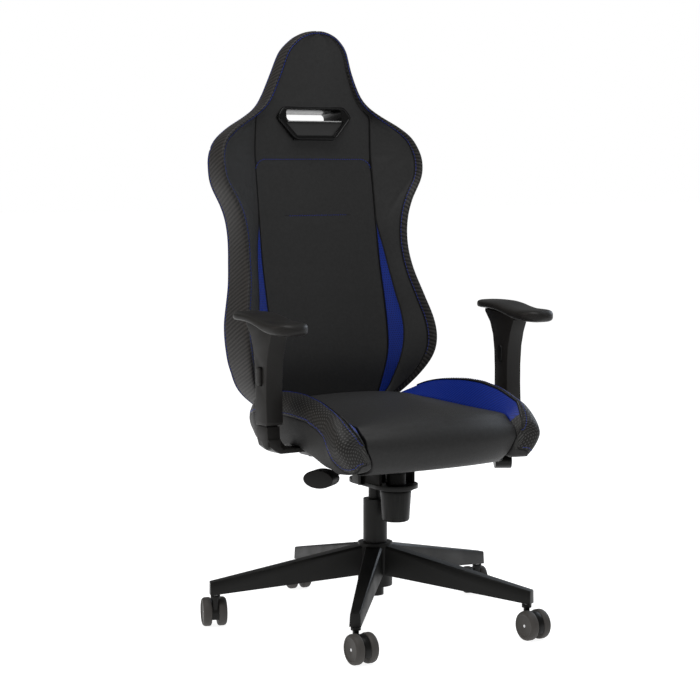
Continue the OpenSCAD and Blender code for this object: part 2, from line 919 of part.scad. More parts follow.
module arm_pad(side) {
    s = flip(side);
    y0 = arm_y + 92;
    y1 = y0 - pad_len;
    color(plastic)
        intersection() {
            translate([s * pad_x, 0, 0])
                along_x(pad_w)
                    polygon([
                        [y0, pad_z - 4], [y0 - 5, pad_z], [y0 - 66, pad_z], [y0 - 92, pad_z - 4],
                        [y0 - 120, pad_z - 12], [y0 - 150, pad_z - 17], [y1 + 24, pad_z - 18],
                        [y1 + 6, pad_z - 17], [y1, pad_z - 24], [y1 + 3, pad_z - 34], [y1 + 16, pad_z - 39],
                        [y0 - 160, pad_z - 39], [y0 - 134, pad_z - 34], [y0 - 100, pad_z - 23.8],
                        [y0 - 36, pad_z - 17.8], [y0 - 6, pad_z - 17.8], [y0, pad_z - 12]
                    ]);
            translate([s * pad_x, (y0 + y1) / 2, pad_z - 80])
                linear_extrude(100)
                    round_rect(pad_w, pad_len, 34);
        }
}

module arm_button(side) {
    s = flip(side);
    color(plastic)
        translate([s * (arm_x + sleeve_w / 2), arm_y + 2, 540])
            rotate([0, 90, 0])
                translate([0, 0, -5])
                    linear_extrude(10)
                        round_rect(36, 14, 6);
}

base_star();
column_tube();
guide_bush();
thrust_bearing();
piston_rod();
gas_cylinder();
valve_pin();
mechanism_housing();
tilt_pivot_pin();
tension_spring();
tension_knob();
tension_bolt();
lift_lever();
lift_paddle();
tilt_lock_lever();
tilt_lock_paddle();
seat_plate();
seat_board();
back_bar();
m8_bolts();
seat_cushion();
back_frame();
back_cushion();
rear_shell();
handle_bezel();
handle_trim_plate();
for (side = SIDES) {
    seat_bolster(side);
    back_wing(side);
    arm_bracket(side);
    arm_sleeve(side);
    arm_pad(side);
    arm_button(side);
}
for (i = [0 : 4]) {
    caster_pins(i);
    caster_hood(i);
    caster_wheel(i, 1);
    caster_wheel(i, -1);
}
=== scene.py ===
import json
import math

import bmesh
import bpy
import numpy as np
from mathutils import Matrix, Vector


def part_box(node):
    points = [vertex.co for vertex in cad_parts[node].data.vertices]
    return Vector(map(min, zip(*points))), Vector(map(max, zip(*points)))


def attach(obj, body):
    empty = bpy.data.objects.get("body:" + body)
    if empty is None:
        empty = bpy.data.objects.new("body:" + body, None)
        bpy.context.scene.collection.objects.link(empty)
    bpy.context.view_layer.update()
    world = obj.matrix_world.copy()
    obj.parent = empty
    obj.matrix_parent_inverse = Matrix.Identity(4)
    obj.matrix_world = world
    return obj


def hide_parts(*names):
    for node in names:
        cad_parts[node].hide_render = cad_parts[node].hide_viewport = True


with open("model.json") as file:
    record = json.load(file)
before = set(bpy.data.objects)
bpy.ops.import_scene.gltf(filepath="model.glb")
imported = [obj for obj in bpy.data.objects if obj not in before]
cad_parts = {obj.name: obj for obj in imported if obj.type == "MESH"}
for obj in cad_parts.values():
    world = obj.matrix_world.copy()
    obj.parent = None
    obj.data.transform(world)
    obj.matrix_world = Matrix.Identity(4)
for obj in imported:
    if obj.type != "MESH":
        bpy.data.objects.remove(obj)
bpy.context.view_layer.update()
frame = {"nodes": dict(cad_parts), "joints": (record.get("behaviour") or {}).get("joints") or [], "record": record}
scene = bpy.context.scene
print("frame loaded")

# camera: distances in metres, angles in degrees
cameraSetup = {"azimuth": -33.44, "elevation": 5.56, "distance": 3.9937, "lens": 99.29,
               "aim": (-0.0438, 0.0289, 0.5699)}


def makeCamera(setup):
    azimuth, elevation = math.radians(setup["azimuth"]), math.radians(setup["elevation"])
    back = Vector((math.sin(azimuth) * math.cos(elevation),
                   -math.cos(azimuth) * math.cos(elevation), math.sin(elevation)))
    data = bpy.data.cameras.new("camera")
    data.lens, data.sensor_width = setup["lens"], 36
    camera = bpy.data.objects.new("camera", data)
    scene.collection.objects.link(camera)
    camera.location = Vector(setup["aim"]) + back * setup["distance"]
    camera.rotation_mode = "QUATERNION"
    camera.rotation_quaternion = (-back).to_track_quat("-Z", "Y")
    data.clip_start, data.clip_end = 0.1, 60
    scene.camera = camera


makeCamera(cameraSetup)
scene.view_settings.view_transform = "Standard"


# sRGB hex to linear colour
def fromHex(code):
    values = [int(code[i:i + 2], 16) / 255 for i in (1, 3, 5)]
    linear = [v / 12.92 if v <= 0.04045 else ((v + 0.055) / 1.055) ** 2.4 for v in values]
    return (*linear, 1.0)


# adds a node with its settings and its inputs, which are values or other nodes' sockets
def addNode(tree, kind, settings=None, inputs=None):
    node = tree.nodes.new(kind)
    for name, value in (settings or {}).items():
        setattr(node, name, value)
    for key, value in (inputs or {}).items():
        if isinstance(value, bpy.types.NodeSocket):
            tree.links.new(value, node.inputs[key])
        else:
            node.inputs[key].default_value = value
    return node


def newMaterial(name, shader):
    material = bpy.data.materials.new(name)
    material.use_nodes = True
    tree = material.node_tree
    tree.nodes.clear()
    principled = addNode(tree, "ShaderNodeBsdfPrincipled", inputs=shader)
    addNode(tree, "ShaderNodeOutputMaterial", inputs={"Surface": principled.outputs[0]})
    return material, tree, principled


# leather patterns, in metres on the piece's own UV map: dots have a spacing, and a radius as a share of
# their cell; the drape's and the seams' heights are in units of the relief
leatherSizes = {
    "slots": {"across": 0.0075, "along": 0.0058, "radius": 0.28},
    "holes": {"across": 0.0052, "along": 0.0052, "radius": 0.24},
    "grainScale": 450, "drapeScale": 16, "mottleScale": 160,
    "relief": 0.00012, "bump": 0.55, "drapeHeight": 6.0, "seamHeight": 12.0,
    "seamStart": 0.0006, "seamEnd": 0.0024}


# polyurethane leather: a calendered film with a fine printed grain over foam, so a soft, broad gloss.
# pattern: None, "ribs" (diagonal embossed carbon look), "slots" (rows of short embossed slots)
# or "holes" (perforated)
def leatherMaterial(name, colour, lifted, roughness, pattern=None, slope=0.36, period=0.0088, depth=0.0005):
    material, tree, shader = newMaterial(name, {"Roughness": roughness, "IOR": 1.5,
                                                "Specular IOR Level": 0.2})
    spot = addNode(tree, "ShaderNodeTexCoord").outputs["Object"]
    # grain cells are about 1 mm; drawn at 2.2 mm, or they would not show
    grain = addNode(tree, "ShaderNodeTexVoronoi", {"feature": "DISTANCE_TO_EDGE"},
                    {"Vector": spot, "Scale": leatherSizes["grainScale"]})
    grainEdge = addNode(tree, "ShaderNodeMapRange",
                        inputs={"Value": grain.outputs["Distance"], "From Max": 0.12})
    # slow unevenness of the stretched cover, 60 mm across
    drape = addNode(tree, "ShaderNodeTexNoise", inputs={"Vector": spot, "Scale": leatherSizes["drapeScale"],
                                                        "Detail": 3, "Roughness": 0.55})
    mottle = addNode(tree, "ShaderNodeTexNoise", inputs={"Vector": spot, "Detail": 2,
                                                         "Scale": leatherSizes["mottleScale"]})
    height = addNode(tree, "ShaderNodeMath", {"operation": "MULTIPLY_ADD"},
                     {0: drape.outputs["Fac"], 1: leatherSizes["drapeHeight"],
                      2: grainEdge.outputs["Result"]})
    shade = addNode(tree, "ShaderNodeMapRange", inputs={"Value": mottle.outputs["Fac"], "From Min": 0.3,
                                                        "From Max": 0.7, "To Min": 0.0, "To Max": 0.35})
    if pattern:
        cover = addNode(tree, "ShaderNodeUVMap", {"uv_map": "cover"})
        axes = addNode(tree, "ShaderNodeSeparateXYZ", inputs={"Vector": cover.outputs[0]})
        across, along = axes.outputs["X"], axes.outputs["Y"]
        if pattern == "ribs":
            slant = addNode(tree, "ShaderNodeMath", {"operation": "MULTIPLY_ADD"},
                            {0: across, 1: slope, 2: along})
            wave = addNode(tree, "ShaderNodeMath", {"operation": "MULTIPLY"},
                           {0: slant.outputs[0], 1: 2 * math.pi / period})
            swing = addNode(tree, "ShaderNodeMath", {"operation": "SINE"}, {0: wave.outputs[0]})
            mask = addNode(tree, "ShaderNodeMapRange", {"interpolation_type": "SMOOTHSTEP"},
                           {"Value": swing.outputs[0], "From Min": -0.5, "From Max": 0.6})
        else:
            cell = leatherSizes[pattern]
            # every other row is moved half a cell
            row = addNode(tree, "ShaderNodeMath", {"operation": "DIVIDE"}, {0: along, 1: cell["along"]})
            rowFloor = addNode(tree, "ShaderNodeMath", {"operation": "FLOOR"}, {0: row.outputs[0]})
            halfCell = addNode(tree, "ShaderNodeMath", {"operation": "MULTIPLY"},
                               {0: rowFloor.outputs[0], 1: 0.5})
            column = addNode(tree, "ShaderNodeMath", {"operation": "DIVIDE"}, {0: across, 1: cell["across"]})
            moved = addNode(tree, "ShaderNodeMath", {"operation": "ADD"},
                            {0: column.outputs[0], 1: halfCell.outputs[0]})
            centred = []
            for counted in (moved, row):
                inCell = addNode(tree, "ShaderNodeMath", {"operation": "FRACT"}, {0: counted.outputs[0]})
                centred.append(addNode(tree, "ShaderNodeMath", {"operation": "SUBTRACT"},
                                       {0: inCell.outputs[0], 1: 0.5}))
            both = addNode(tree, "ShaderNodeCombineXYZ",
                           inputs={"X": centred[0].outputs[0], "Y": centred[1].outputs[0]})
            reach = addNode(tree, "ShaderNodeVectorMath", {"operation": "LENGTH"}, {0: both.outputs[0]})
            mask = addNode(tree, "ShaderNodeMapRange", {"interpolation_type": "SMOOTHSTEP"},
                           {"Value": reach.outputs["Value"], "From Min": cell["radius"] * 0.6,
                            "From Max": cell["radius"] * 1.3})
        lift = mask.outputs["Result"]
        if pattern != "holes":
            height = addNode(tree, "ShaderNodeMath", {"operation": "MULTIPLY_ADD"},
                             {0: lift, 1: depth / leatherSizes["relief"], 2: height.outputs[0]})
    else:
        lift = shade.outputs["Result"]
    tint = addNode(tree, "ShaderNodeMix", {"data_type": "RGBA"},
                   {0: lift, 6: fromHex(colour), 7: fromHex(lifted)})
    # the cover dips into each seam, and its colour is mixed towards near black there as painted shade in the
    # crease
    seam = addNode(tree, "ShaderNodeAttribute", {"attribute_name": "seam"})
    crease = addNode(tree, "ShaderNodeMapRange", {"interpolation_type": "SMOOTHSTEP"},
                     {"Value": seam.outputs["Fac"], "From Min": leatherSizes["seamStart"],
                      "From Max": leatherSizes["seamEnd"]})
    # painted shade: the base colour goes to near black along each seam
    paintedSeamShade = addNode(tree, "ShaderNodeMix", {"data_type": "RGBA"},
                   {0: crease.outputs["Result"], 6: fromHex("#060606"), 7: tint.outputs[2]})
    height = addNode(tree, "ShaderNodeMath", {"operation": "MULTIPLY_ADD"},
                     {0: crease.outputs["Result"], 1: leatherSizes["seamHeight"], 2: height.outputs[0]})
    tree.links.new(paintedSeamShade.outputs[2], shader.inputs["Base Color"])
    bump = addNode(tree, "ShaderNodeBump",
                   inputs={"Strength": leatherSizes["bump"], "Distance": leatherSizes["relief"],
                           "Height": height.outputs[0]})
    tree.links.new(bump.outputs[0], shader.inputs["Normal"])
    return material


# moulded or painted hard surface: a fine spark-eroded grain and slightly uneven gloss
def hardMaterial(name, colour, roughness, metallic=0.0, ior=1.5, grain=0.00003, grainScale=700, wear=0.12):
    shader = {"Metallic": metallic}
    if not metallic:
        shader["IOR"] = ior
        shader["Specular IOR Level"] = 0.16   # spark-eroded plastic reflects less than a polished one
    material, tree, shader = newMaterial(name, shader)
    spot = addNode(tree, "ShaderNodeTexCoord").outputs["Object"]
    pits = addNode(tree, "ShaderNodeTexNoise", inputs={"Vector": spot, "Scale": grainScale, "Detail": 2})
    cloud = addNode(tree, "ShaderNodeTexNoise", inputs={"Vector": spot, "Scale": 22, "Detail": 3})
    gloss = addNode(tree, "ShaderNodeMapRange",
                    inputs={"Value": cloud.outputs["Fac"], "From Min": 0.3, "From Max": 0.7,
                            "To Min": roughness * (1 - wear), "To Max": roughness * (1 + wear)})
    base = fromHex(colour)
    lighter = tuple(min(1, c * 1.25) for c in base[:3]) + (1,)
    tone = addNode(tree, "ShaderNodeMix", {"data_type": "RGBA"},
                   {0: cloud.outputs["Fac"], 6: base, 7: lighter})
    tree.links.new(tone.outputs[2], shader.inputs["Base Color"])
    tree.links.new(gloss.outputs["Result"], shader.inputs["Roughness"])
    bump = addNode(tree, "ShaderNodeBump",
                   inputs={"Strength": 0.4, "Distance": grain, "Height": pits.outputs["Fac"]})
    tree.links.new(bump.outputs[0], shader.inputs["Normal"])
    return material


# spun bonded polypropylene lining that covers the seat board: matt, with a fine pressed diamond
def liningMaterial():
    material, tree, shader = newMaterial("black spun bonded lining", {"Roughness": 0.9, "IOR": 1.45})
    place = addNode(tree, "ShaderNodeTexCoord")
    fibres = addNode(tree, "ShaderNodeTexVoronoi", inputs={"Vector": place.outputs["Object"], "Scale": 600})
    tone = addNode(tree, "ShaderNodeMix", {"data_type": "RGBA"},
                   {0: fibres.outputs["Distance"], 6: fromHex("#101010"), 7: fromHex("#1c1c1c")})
    tree.links.new(tone.outputs[2], shader.inputs["Base Color"])
    bump = addNode(tree, "ShaderNodeBump", inputs={"Strength": 0.4, "Distance": 0.0001,
                                                   "Height": fibres.outputs["Distance"]})
    tree.links.new(bump.outputs[0], shader.inputs["Normal"])
    return material


smoothLeather = leatherMaterial("smooth black polyurethane leather", "#202020", "#2a2a2a", 0.56)
rearLeather = leatherMaterial("rear black polyurethane leather", "#1a1a1a", "#232323", 0.5)
carbonLeather = leatherMaterial("carbon ribbed polyurethane leather", "#151413", "#2c2a29", 0.48, "ribs")
slotLeather = leatherMaterial("carbon slotted polyurethane leather", "#3a3a39", "#181716", 0.5, "slots")
blueHoles = leatherMaterial("blue perforated polyurethane leather", "#020c34", "#04206e", 0.5, "holes")
blueRibs = leatherMaterial("blue ribbed polyurethane leather", "#031a63", "#05247c", 0.5, "ribs",
                           slope=0.8, period=0.0085, depth=0.0003)
# a welt is leather wrapped round a cord and pulled tight, so it is a little glossier
pipingLeather = hardMaterial("black welt of polyurethane leather", "#121212", 0.42, grain=0.00005)
# twisted filament: matt
blueThread = hardMaterial("blue bonded nylon thread", "#22338a", 0.6, grain=0.0001, grainScale=900)
# moulded glass-filled nylon of the star base: low gloss
baseNylon = hardMaterial("moulded black nylon", "#0e0e0d", 0.44, grain=0.00004)
# spark-eroded mould finishes: an even, satin gloss
armPlastic = hardMaterial("moulded black polypropylene", "#191817", 0.42, grain=0.00004)
armFoam = hardMaterial("integral skin polyurethane foam", "#191817", 0.46, grain=0.00006, grainScale=500)
knobPlastic = hardMaterial("moulded black ABS", "#0c0c0b", 0.38)
# polished moulds: sharper highlights round the opening
bezelPlastic = hardMaterial("polished black ABS", "#0d0d0d", 0.24, grain=0.00001)
platePlastic = hardMaterial("satin graphite ABS", "#2b2b2b", 0.32, grain=0.00001)
# the lip's light grey colour is a painted highlight along its edge
lipHighlightGrey = hardMaterial("grey lip with painted highlight", "#8a8a8a", 0.35, grain=0.00001)
treadPlastic = hardMaterial("grey polyurethane tread", "#3a3836", 0.55)
wheelPlastic = hardMaterial("moulded nylon wheel disc", "#161514", 0.45)
# baked powder has an orange-peel skin; oxide is dull; ground steel is bright and streak-free
tubePaint = hardMaterial("powder coated steel tube", "#131312", 0.42, grain=0.00006, grainScale=900)
blackSteel = hardMaterial("black oxide steel", "#1a1a1a", 0.4, 0.6)
brightSteel = hardMaterial("ground bright steel", "#b9b9ba", 0.28, 1.0)
boardLining = liningMaterial()
print("materials made")


# a smooth curve through a table of (position, value), which doesn't overshoot
def smoothTable(table):
    x = np.array([p[0] for p in table], float)
    y = np.array([p[1] for p in table], float)
    h, d = np.diff(x), np.diff(y) / np.diff(x)
    m = np.zeros(len(x))
    for i in range(1, len(x) - 1):
        if d[i - 1] * d[i] > 0:
            a, b = 2 * h[i] + h[i - 1], h[i] + 2 * h[i - 1]
            m[i] = (a + b) / (a / d[i - 1] + b / d[i])
    m[0], m[-1] = d[0], d[-1]

    def value(at):
        at = np.clip(np.asarray(at, float), x[0], x[-1])
        i = np.clip(np.searchsorted(x, at) - 1, 0, len(x) - 2)
        t = (at - x[i]) / h[i]
        return ((1 + 2 * t) * (1 - t) ** 2 * y[i] + t * (1 - t) ** 2 * h[i] * m[i]
                + t * t * (3 - 2 * t) * y[i + 1] + t * t * (t - 1) * h[i] * m[i + 1])

    return value


# points of a smooth curve through control points, steps to each span
def smoothPath(points, steps, closed=False):
    p = np.asarray(points, float)
    n = len(p)
    spans = n if closed else n - 1
    made = []
    for i in range(spans):
        if closed:
            a, b, c, d = p[(i - 1) % n], p[i], p[(i + 1) % n], p[(i + 2) % n]
        else:
            b, c = p[i], p[i + 1]
            a = p[i - 1] if i else 2 * b - c
            d = p[i + 2] if i + 2 < n else 2 * c - b
        for k in range(steps):
            t = k / steps
            made.append(0.5 * (2 * b + (c - a) * t + (2 * a - 5 * b + 4 * c - d) * t * t
                               + (3 * b - a - 3 * c + d) * t ** 3))
    if not closed:
        made.append(p[-1])
    return np.array(made)


# distance along a path at each of its points
def lengthAlong(path):
    return np.concatenate([[0], np.cumsum(np.linalg.norm(np.diff(path, axis=0), axis=1))])


# count points at even spacing along a path
def evenly(path, count):
    path = np.asarray(path, float)
    length = lengthAlong(path)
    at = np.linspace(0, length[-1], count)
    return np.stack([np.interp(at, length, path[:, k]) for k in range(path.shape[1])], axis=1)


# places points (x, y, z) of the leaning back's frame, in mm, in the chair's frame, in metres
backFrame = {"recline": 8.5, "foot": (165.0, 466.0), "scale": 769 / 777}


def fromBack(points):
    p = np.asarray(points, float)
    lean = math.radians(backFrame["recline"])
    y, z = p[..., 1], p[..., 2]
    return np.stack([p[..., 0], backFrame["foot"][0] + y * math.cos(lean) + z * math.sin(lean),
                     backFrame["foot"][1] - y * math.sin(lean) + z * math.cos(lean)], axis=-1) / 1000


# an object from points and faces, with a UV map in metres and a distance to the nearest seam
def meshPiece(name, points, faces, materials, faceMaterials=None, cover=None, seam=None):
    mesh = bpy.data.meshes.new(name)
    mesh.from_pydata([tuple(p) for p in points], [], [tuple(int(i) for i in f) for f in faces])
    for material in materials:
        mesh.materials.append(material)
    if faceMaterials is not None:
        mesh.polygons.foreach_set("material_index", np.asarray(faceMaterials, np.int32))
    mesh.polygons.foreach_set("use_smooth", np.ones(len(mesh.polygons), bool))
    if cover is not None:
        layer = mesh.uv_layers.new(name="cover")
        loops = np.zeros(len(mesh.loops), np.int32)
        mesh.loops.foreach_get("vertex_index", loops)
        layer.data.foreach_set("uv", np.asarray(cover, np.float32)[loops].ravel())
    if seam is not None:
        layer = mesh.attributes.new("seam", "FLOAT", "POINT")
        layer.data.foreach_set("value", np.asarray(seam, np.float32))
    mesh.validate()
    piece = bpy.data.objects.new(name, mesh)
    scene.collection.objects.link(piece)
    return piece


# faces of a tube of ring after ring of points; joined meets the last ring with the first
def tubeFaces(rings, around, joined=False):
    faces = []
    for i in range(rings if joined else rings - 1):
        j = (i + 1) % rings
        for k in range(around):
            l = (k + 1) % around
            faces.append((i * around + k, i * around + l, j * around + l, j * around + k))
    return faces


# the two faces that close such a tube's ends
def capFaces(rings, around):
    return [tuple(range(around)), tuple((rings - 1) * around + k for k in range(around))]


# a block with the same outline at both ends, first outline then second
def blockFaces(n):
    return [tuple(range(n)), tuple(range(2 * n - 1, n - 1, -1))] + [
        (i, i + n, (i + 1) % n + n, (i + 1) % n) for i in range(n)]


def turnOutwards(piece):
    work = bmesh.new()
    work.from_mesh(piece.data)
    bmesh.ops.recalc_face_normals(work, faces=work.faces)
    work.to_mesh(piece.data)
    work.free()


def pointsOf(mesh):
    found = np.zeros(len(mesh.vertices) * 3)
    mesh.vertices.foreach_get("co", found)
    return found.reshape(-1, 3)


clothSizes = {"pressure": 4.0, "stretch": 12, "bend": 0.4, "frames": 20}


# swells a padded piece with a pressure cloth simulation; held (0 to 1) are the sewn points, and cap
# is the most that a point moves, in metres
def swell(piece, held, cap):
    rest = pointsOf(piece.data)
    work = piece.copy()
    work.data = piece.data.copy()
    scene.collection.objects.link(work)
    group = work.vertex_groups.new(name="sewn")
    for index, weight in enumerate(held):
        if weight > 0:
            group.add([index], float(weight), "REPLACE")
    cloth = work.modifiers.new("cloth", "CLOTH")
    cloth.settings.vertex_group_mass = "sewn"
    cloth.settings.use_pressure = True
    cloth.settings.uniform_pressure_force = clothSizes["pressure"]
    cloth.settings.tension_stiffness = clothSizes["stretch"]
    cloth.settings.compression_stiffness = clothSizes["stretch"]
    cloth.settings.bending_stiffness = clothSizes["bend"]
    cloth.settings.effector_weights.gravity = 0
    cloth.point_cache.frame_start, cloth.point_cache.frame_end = 1, clothSizes["frames"]
    for step in range(1, clothSizes["frames"] + 1):
        scene.frame_set(step)
    swollen = work.evaluated_get(bpy.context.evaluated_depsgraph_get())
    moved = pointsOf(swollen.data) - rest
    scene.frame_set(1)
    length = np.linalg.norm(moved, axis=1, keepdims=True)
    moved *= np.minimum(1, cap / np.maximum(length, 1e-9)) * (1 - np.asarray(held)[:, None] ** 2)
    piece.data.vertices.foreach_set("co", (rest + moved).ravel())
    piece.data.update()
    bpy.data.objects.remove(work)
    print(piece.name, "swelled, most", round(float(length.max()) * 1000, 1), "mm before the cap")


# keeps the edges between marked corners tight when the piece is subdivided
def creased(piece, marked, value):
    mesh = piece.data
    pairs = np.zeros(len(mesh.edges) * 2, int)
    mesh.edges.foreach_get("vertices", pairs)
    pairs = pairs.reshape(-1, 2)
    layer = mesh.attributes.new("crease_edge", "FLOAT", "EDGE")
    layer.data.foreach_set("value", np.where(marked[pairs].all(axis=1), value, 0.0))


def subdivided(piece, levels=1):
    soften = piece.modifiers.new("subdivision", "SUBSURF")
    soften.levels = soften.render_levels = levels
    soften.boundary_smooth = "PRESERVE_CORNERS"


# puts a drawn piece in a CAD node's place
def standIn(piece, node, body):
    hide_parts(node)
    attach(piece, body)


# a CAD node's shape with its edges rounded, in metres
def roundedCopy(node, width, materials, slot, body, pick=None, angle=30, segments=2, name=None):
    mesh = frame["nodes"][node].data.copy()
    mesh.name = name or node + "_rounded"
    for extra in ("custom_normal", "Normal"):
        if extra in mesh.attributes:
            mesh.attributes.remove(mesh.attributes[extra])
    work = bmesh.new()
    work.from_mesh(mesh)
    bmesh.ops.remove_doubles(work, verts=work.verts, dist=0.00002)
    bmesh.ops.dissolve_limit(work, angle_limit=math.radians(1.2), verts=work.verts, edges=work.edges)
    sharp = [e for e in work.edges if len(e.link_faces) == 2 and e.calc_face_angle(0) > math.radians(angle)]
    bmesh.ops.bevel(work, geom=sharp, offset=width, offset_type="OFFSET", segments=segments, profile=0.5,
                    affect="EDGES", clamp_overlap=True)
    bmesh.ops.triangulate(work, faces=[f for f in work.faces if len(f.verts) > 4])
    for face in work.faces:
        face.smooth = True
        face.material_index = pick(face.calc_center_median()) if pick else 0
    work.to_mesh(mesh)
    work.free()
    mesh.materials.clear()
    for material in materials:
        mesh.materials.append(material)
    mesh.set_sharp_from_angle(angle=math.radians(38))
    piece = bpy.data.objects.new(mesh.name, mesh)
    scene.collection.objects.link(piece)
    standIn(piece, node, body)
    return piece


# Geometry Nodes lay a short thread at even spacing along each seam; sizes in metres
stitchSizes = {"Spacing": 0.006, "Length": 0.0046, "Thickness": 0.0011}


def stitchTree():
    tree = bpy.data.node_groups.new("stitches along a seam", "GeometryNodeTree")
    tree.interface.new_socket("Geometry", in_out="INPUT", socket_type="NodeSocketGeometry")
    for name, value in stitchSizes.items():
        tree.interface.new_socket(name, in_out="INPUT", socket_type="NodeSocketFloat").default_value = value
    tree.interface.new_socket("Thread", in_out="INPUT", socket_type="NodeSocketMaterial")
    tree.interface.new_socket("Geometry", in_out="OUTPUT", socket_type="NodeSocketGeometry")
    given = tree.nodes.new("NodeGroupInput").outputs
    line = addNode(tree, "GeometryNodeMeshToCurve", inputs={"Mesh": given["Geometry"]})
    spots = addNode(tree, "GeometryNodeCurveToPoints", {"mode": "LENGTH"},
                    {"Curve": line.outputs[0], "Length": given["Spacing"]})
    thread = addNode(tree, "GeometryNodeMeshUVSphere", inputs={"Segments": 6, "Rings": 5, "Radius": 0.5})
    size = addNode(tree, "ShaderNodeCombineXYZ",
                   inputs={"X": given["Thickness"], "Y": given["Thickness"], "Z": given["Length"]})
    laid = addNode(tree, "GeometryNodeInstanceOnPoints",
                   inputs={"Points": spots.outputs["Points"], "Instance": thread.outputs["Mesh"],
                           "Rotation": spots.outputs["Rotation"], "Scale": size.outputs[0]})
    real = addNode(tree, "GeometryNodeRealizeInstances", inputs={0: laid.outputs[0]})
    named = addNode(tree, "GeometryNodeSetMaterial",
                    inputs={"Geometry": real.outputs[0], "Material": given["Thread"]})
    smooth = addNode(tree, "GeometryNodeSetShadeSmooth", inputs={0: named.outputs[0]})
    addNode(tree, "NodeGroupOutput", inputs={"Geometry": smooth.outputs[0]})
    return tree


stitches = stitchTree()


# lines: a list of point lists, in metres
def stitchPiece(name, lines, body, thickness=stitchSizes["Thickness"]):
    points, edges = [], []
    for line in lines:
        start = len(points)
        points += [tuple(p) for p in line]
        edges += [(start + i, start + i + 1) for i in range(len(line) - 1)]
    mesh = bpy.data.meshes.new(name + "_line")
    mesh.from_pydata(points, edges, [])
    guide = bpy.data.objects.new(name + "_line", mesh)
    scene.collection.objects.link(guide)
    modifier = guide.modifiers.new("stitches", "NODES")
    modifier.node_group = stitches
    sizes = {**stitchSizes, "Thickness": thickness, "Thread": blueThread}
    for item in stitches.interface.items_tree:
        if item.in_out == "INPUT" and item.name in sizes:
            modifier[item.identifier] = sizes[item.name]
    guide.update_tag()
    graph = bpy.context.evaluated_depsgraph_get()
    made = bpy.data.meshes.new_from_object(guide.evaluated_get(graph), depsgraph=graph)
    made.name = name
    piece = bpy.data.objects.new(name, made)
    scene.collection.objects.link(piece)
    bpy.data.objects.remove(guide)
    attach(piece, body)
    return piece


# a round welt along a path
def weltPiece(name, line, radius, material, body, closed=False, sides=8):
    line = np.asarray(line, float)
    n = len(line)
    points = []
    for i in range(n):
        a = line[(i - 1) % n] if closed or i else line[0]
        b = line[(i + 1) % n] if closed or i < n - 1 else line[-1]
        tangent = Vector(b - a).normalized()
        side = tangent.cross(Vector((0, 0, 1)) if abs(tangent.z) < 0.9 else Vector((0, 1, 0))).normalized()
        up = side.cross(tangent)
        for k in range(sides):
            turn = 2 * math.pi * k / sides
            points.append(Vector(line[i]) + (side * math.cos(turn) + up * math.sin(turn)) * radius)
    faces = tubeFaces(n, sides, joined=closed) + ([] if closed else capFaces(n, sides))
    piece = meshPiece(name, points, faces, [material])
    turnOutwards(piece)
    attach(piece, body)
    return piece


# the back, in mm: tables give (height, value), and the outline gives (half width, height)
backSizes = {
    "outline": [(118, -45), (164, -20), (210, 20), (235, 65), (242, 110), (239, 155), (228, 200),
                (215, 255), (209, 320), (213, 370), (226, 410), (250, 455), (256, 490), (252, 520),
                (236, 550), (205, 575), (161, 600), (133, 620), (114, 645), (94, 690), (77, 735),
                (57, 758), (38, 770), (14, 777)],
    "crown": [(-45, -6), (0, 0), (90, 12), (200, 6), (300, 0), (500, 0), (600, 15), (690, 34), (777, 62)],
    "wingLead": [(-45, 4), (-20, 12), (20, 32), (65, 56), (110, 64), (200, 54), (320, 40), (410, 46),
                 (490, 54), (550, 42), (600, 24), (645, 12), (777, 2)],
    "band": [(-45, 40), (20, 74), (110, 97), (320, 75), (490, 64), (600, 50), (777, 34)],
    "panel": [(-45, 104), (0, 122), (110, 146), (200, 149), (490, 147), (610, 144), (777, 120)],
    "depth": [(-45, 84), (110, 90), (200, 85), (320, 78), (490, 78), (600, 66), (777, 40)],
    # width of the blue perforated wedge beside the centre panel
    "wedge": [(-45, 18), (0, 22), (60, 29), (139, 34), (213, 23), (300, 12.5), (387, 0.6), (777, 0.6)],
    # how far the front seam lies inside the outline
    "inset": [(-45, 13), (60, 19), (490, 16), (560, 12), (620, 8), (777, 8)],
    "rows": 118, "panelTop": 500.0, "panelCorner": 26.0,
    # height and half width of the short tuck, and the heights of the band's seam and of the wedge's tip
    "tuck": (381.0, 84.0), "bandSeam": 606.0, "wedgeTop": 386,
    # above this the centre and the wings are one cover, and the head's sides are ribbed
    "oneCover": 612, "ribbedHead": 622}

crownAt = smoothTable(backSizes["crown"])
leadAt = smoothTable(backSizes["wingLead"])
bandAt = smoothTable(backSizes["band"])
panelAt = smoothTable(backSizes["panel"])
depthAt = smoothTable(backSizes["depth"])
wedgeAt = smoothTable(backSizes["wedge"])


# outline of the back from the foot to the top of the head, with the seam line inside it
def backOutline():
    half = backSizes["outline"]
    both = half + [(-x, z) for x, z in reversed(half)]
    path = smoothPath(both, 12)
    path = path[:int(np.argmin(np.abs(path[:, 0]))) + 1]
    path[-1, 0] = 0
    return evenly(path, backSizes["rows"])


edge = backOutline()
insetAt = smoothTable(backSizes["inset"])
tangent = np.gradient(edge, axis=0)
tangent[-1] = (-1, 0)
tangent /= np.linalg.norm(tangent, axis=1, keepdims=True)
outward = np.stack([tangent[:, 1], -tangent[:, 0]], axis=1)
seamLine = edge - outward * insetAt(edge[:, 1])[:, None]
seamLine[-1, 0] = 0
seamLine[:, 0] = np.maximum(seamLine[:, 0], 0)
rowCount = len(edge)
alongEdge = lengthAlong(edge)
zFront, zEdge = seamLine[:, 1], edge[:, 1]
lead = -crownAt(zFront)
wing = lead - leadAt(zFront)
wingEdge = -crownAt(zEdge) - leadAt(zEdge)
bandRear = np.maximum(wingEdge + bandAt(zEdge), wingEdge + 18)
rearY = -crownAt(zFront) + depthAt(zFront)
panelX = np.minimum(panelAt(zFront), np.maximum(seamLine[:, 0] - 2.5, seamLine[:, 0] * 0.6))
stretch = np.array([1, 1, backFrame["scale"]])


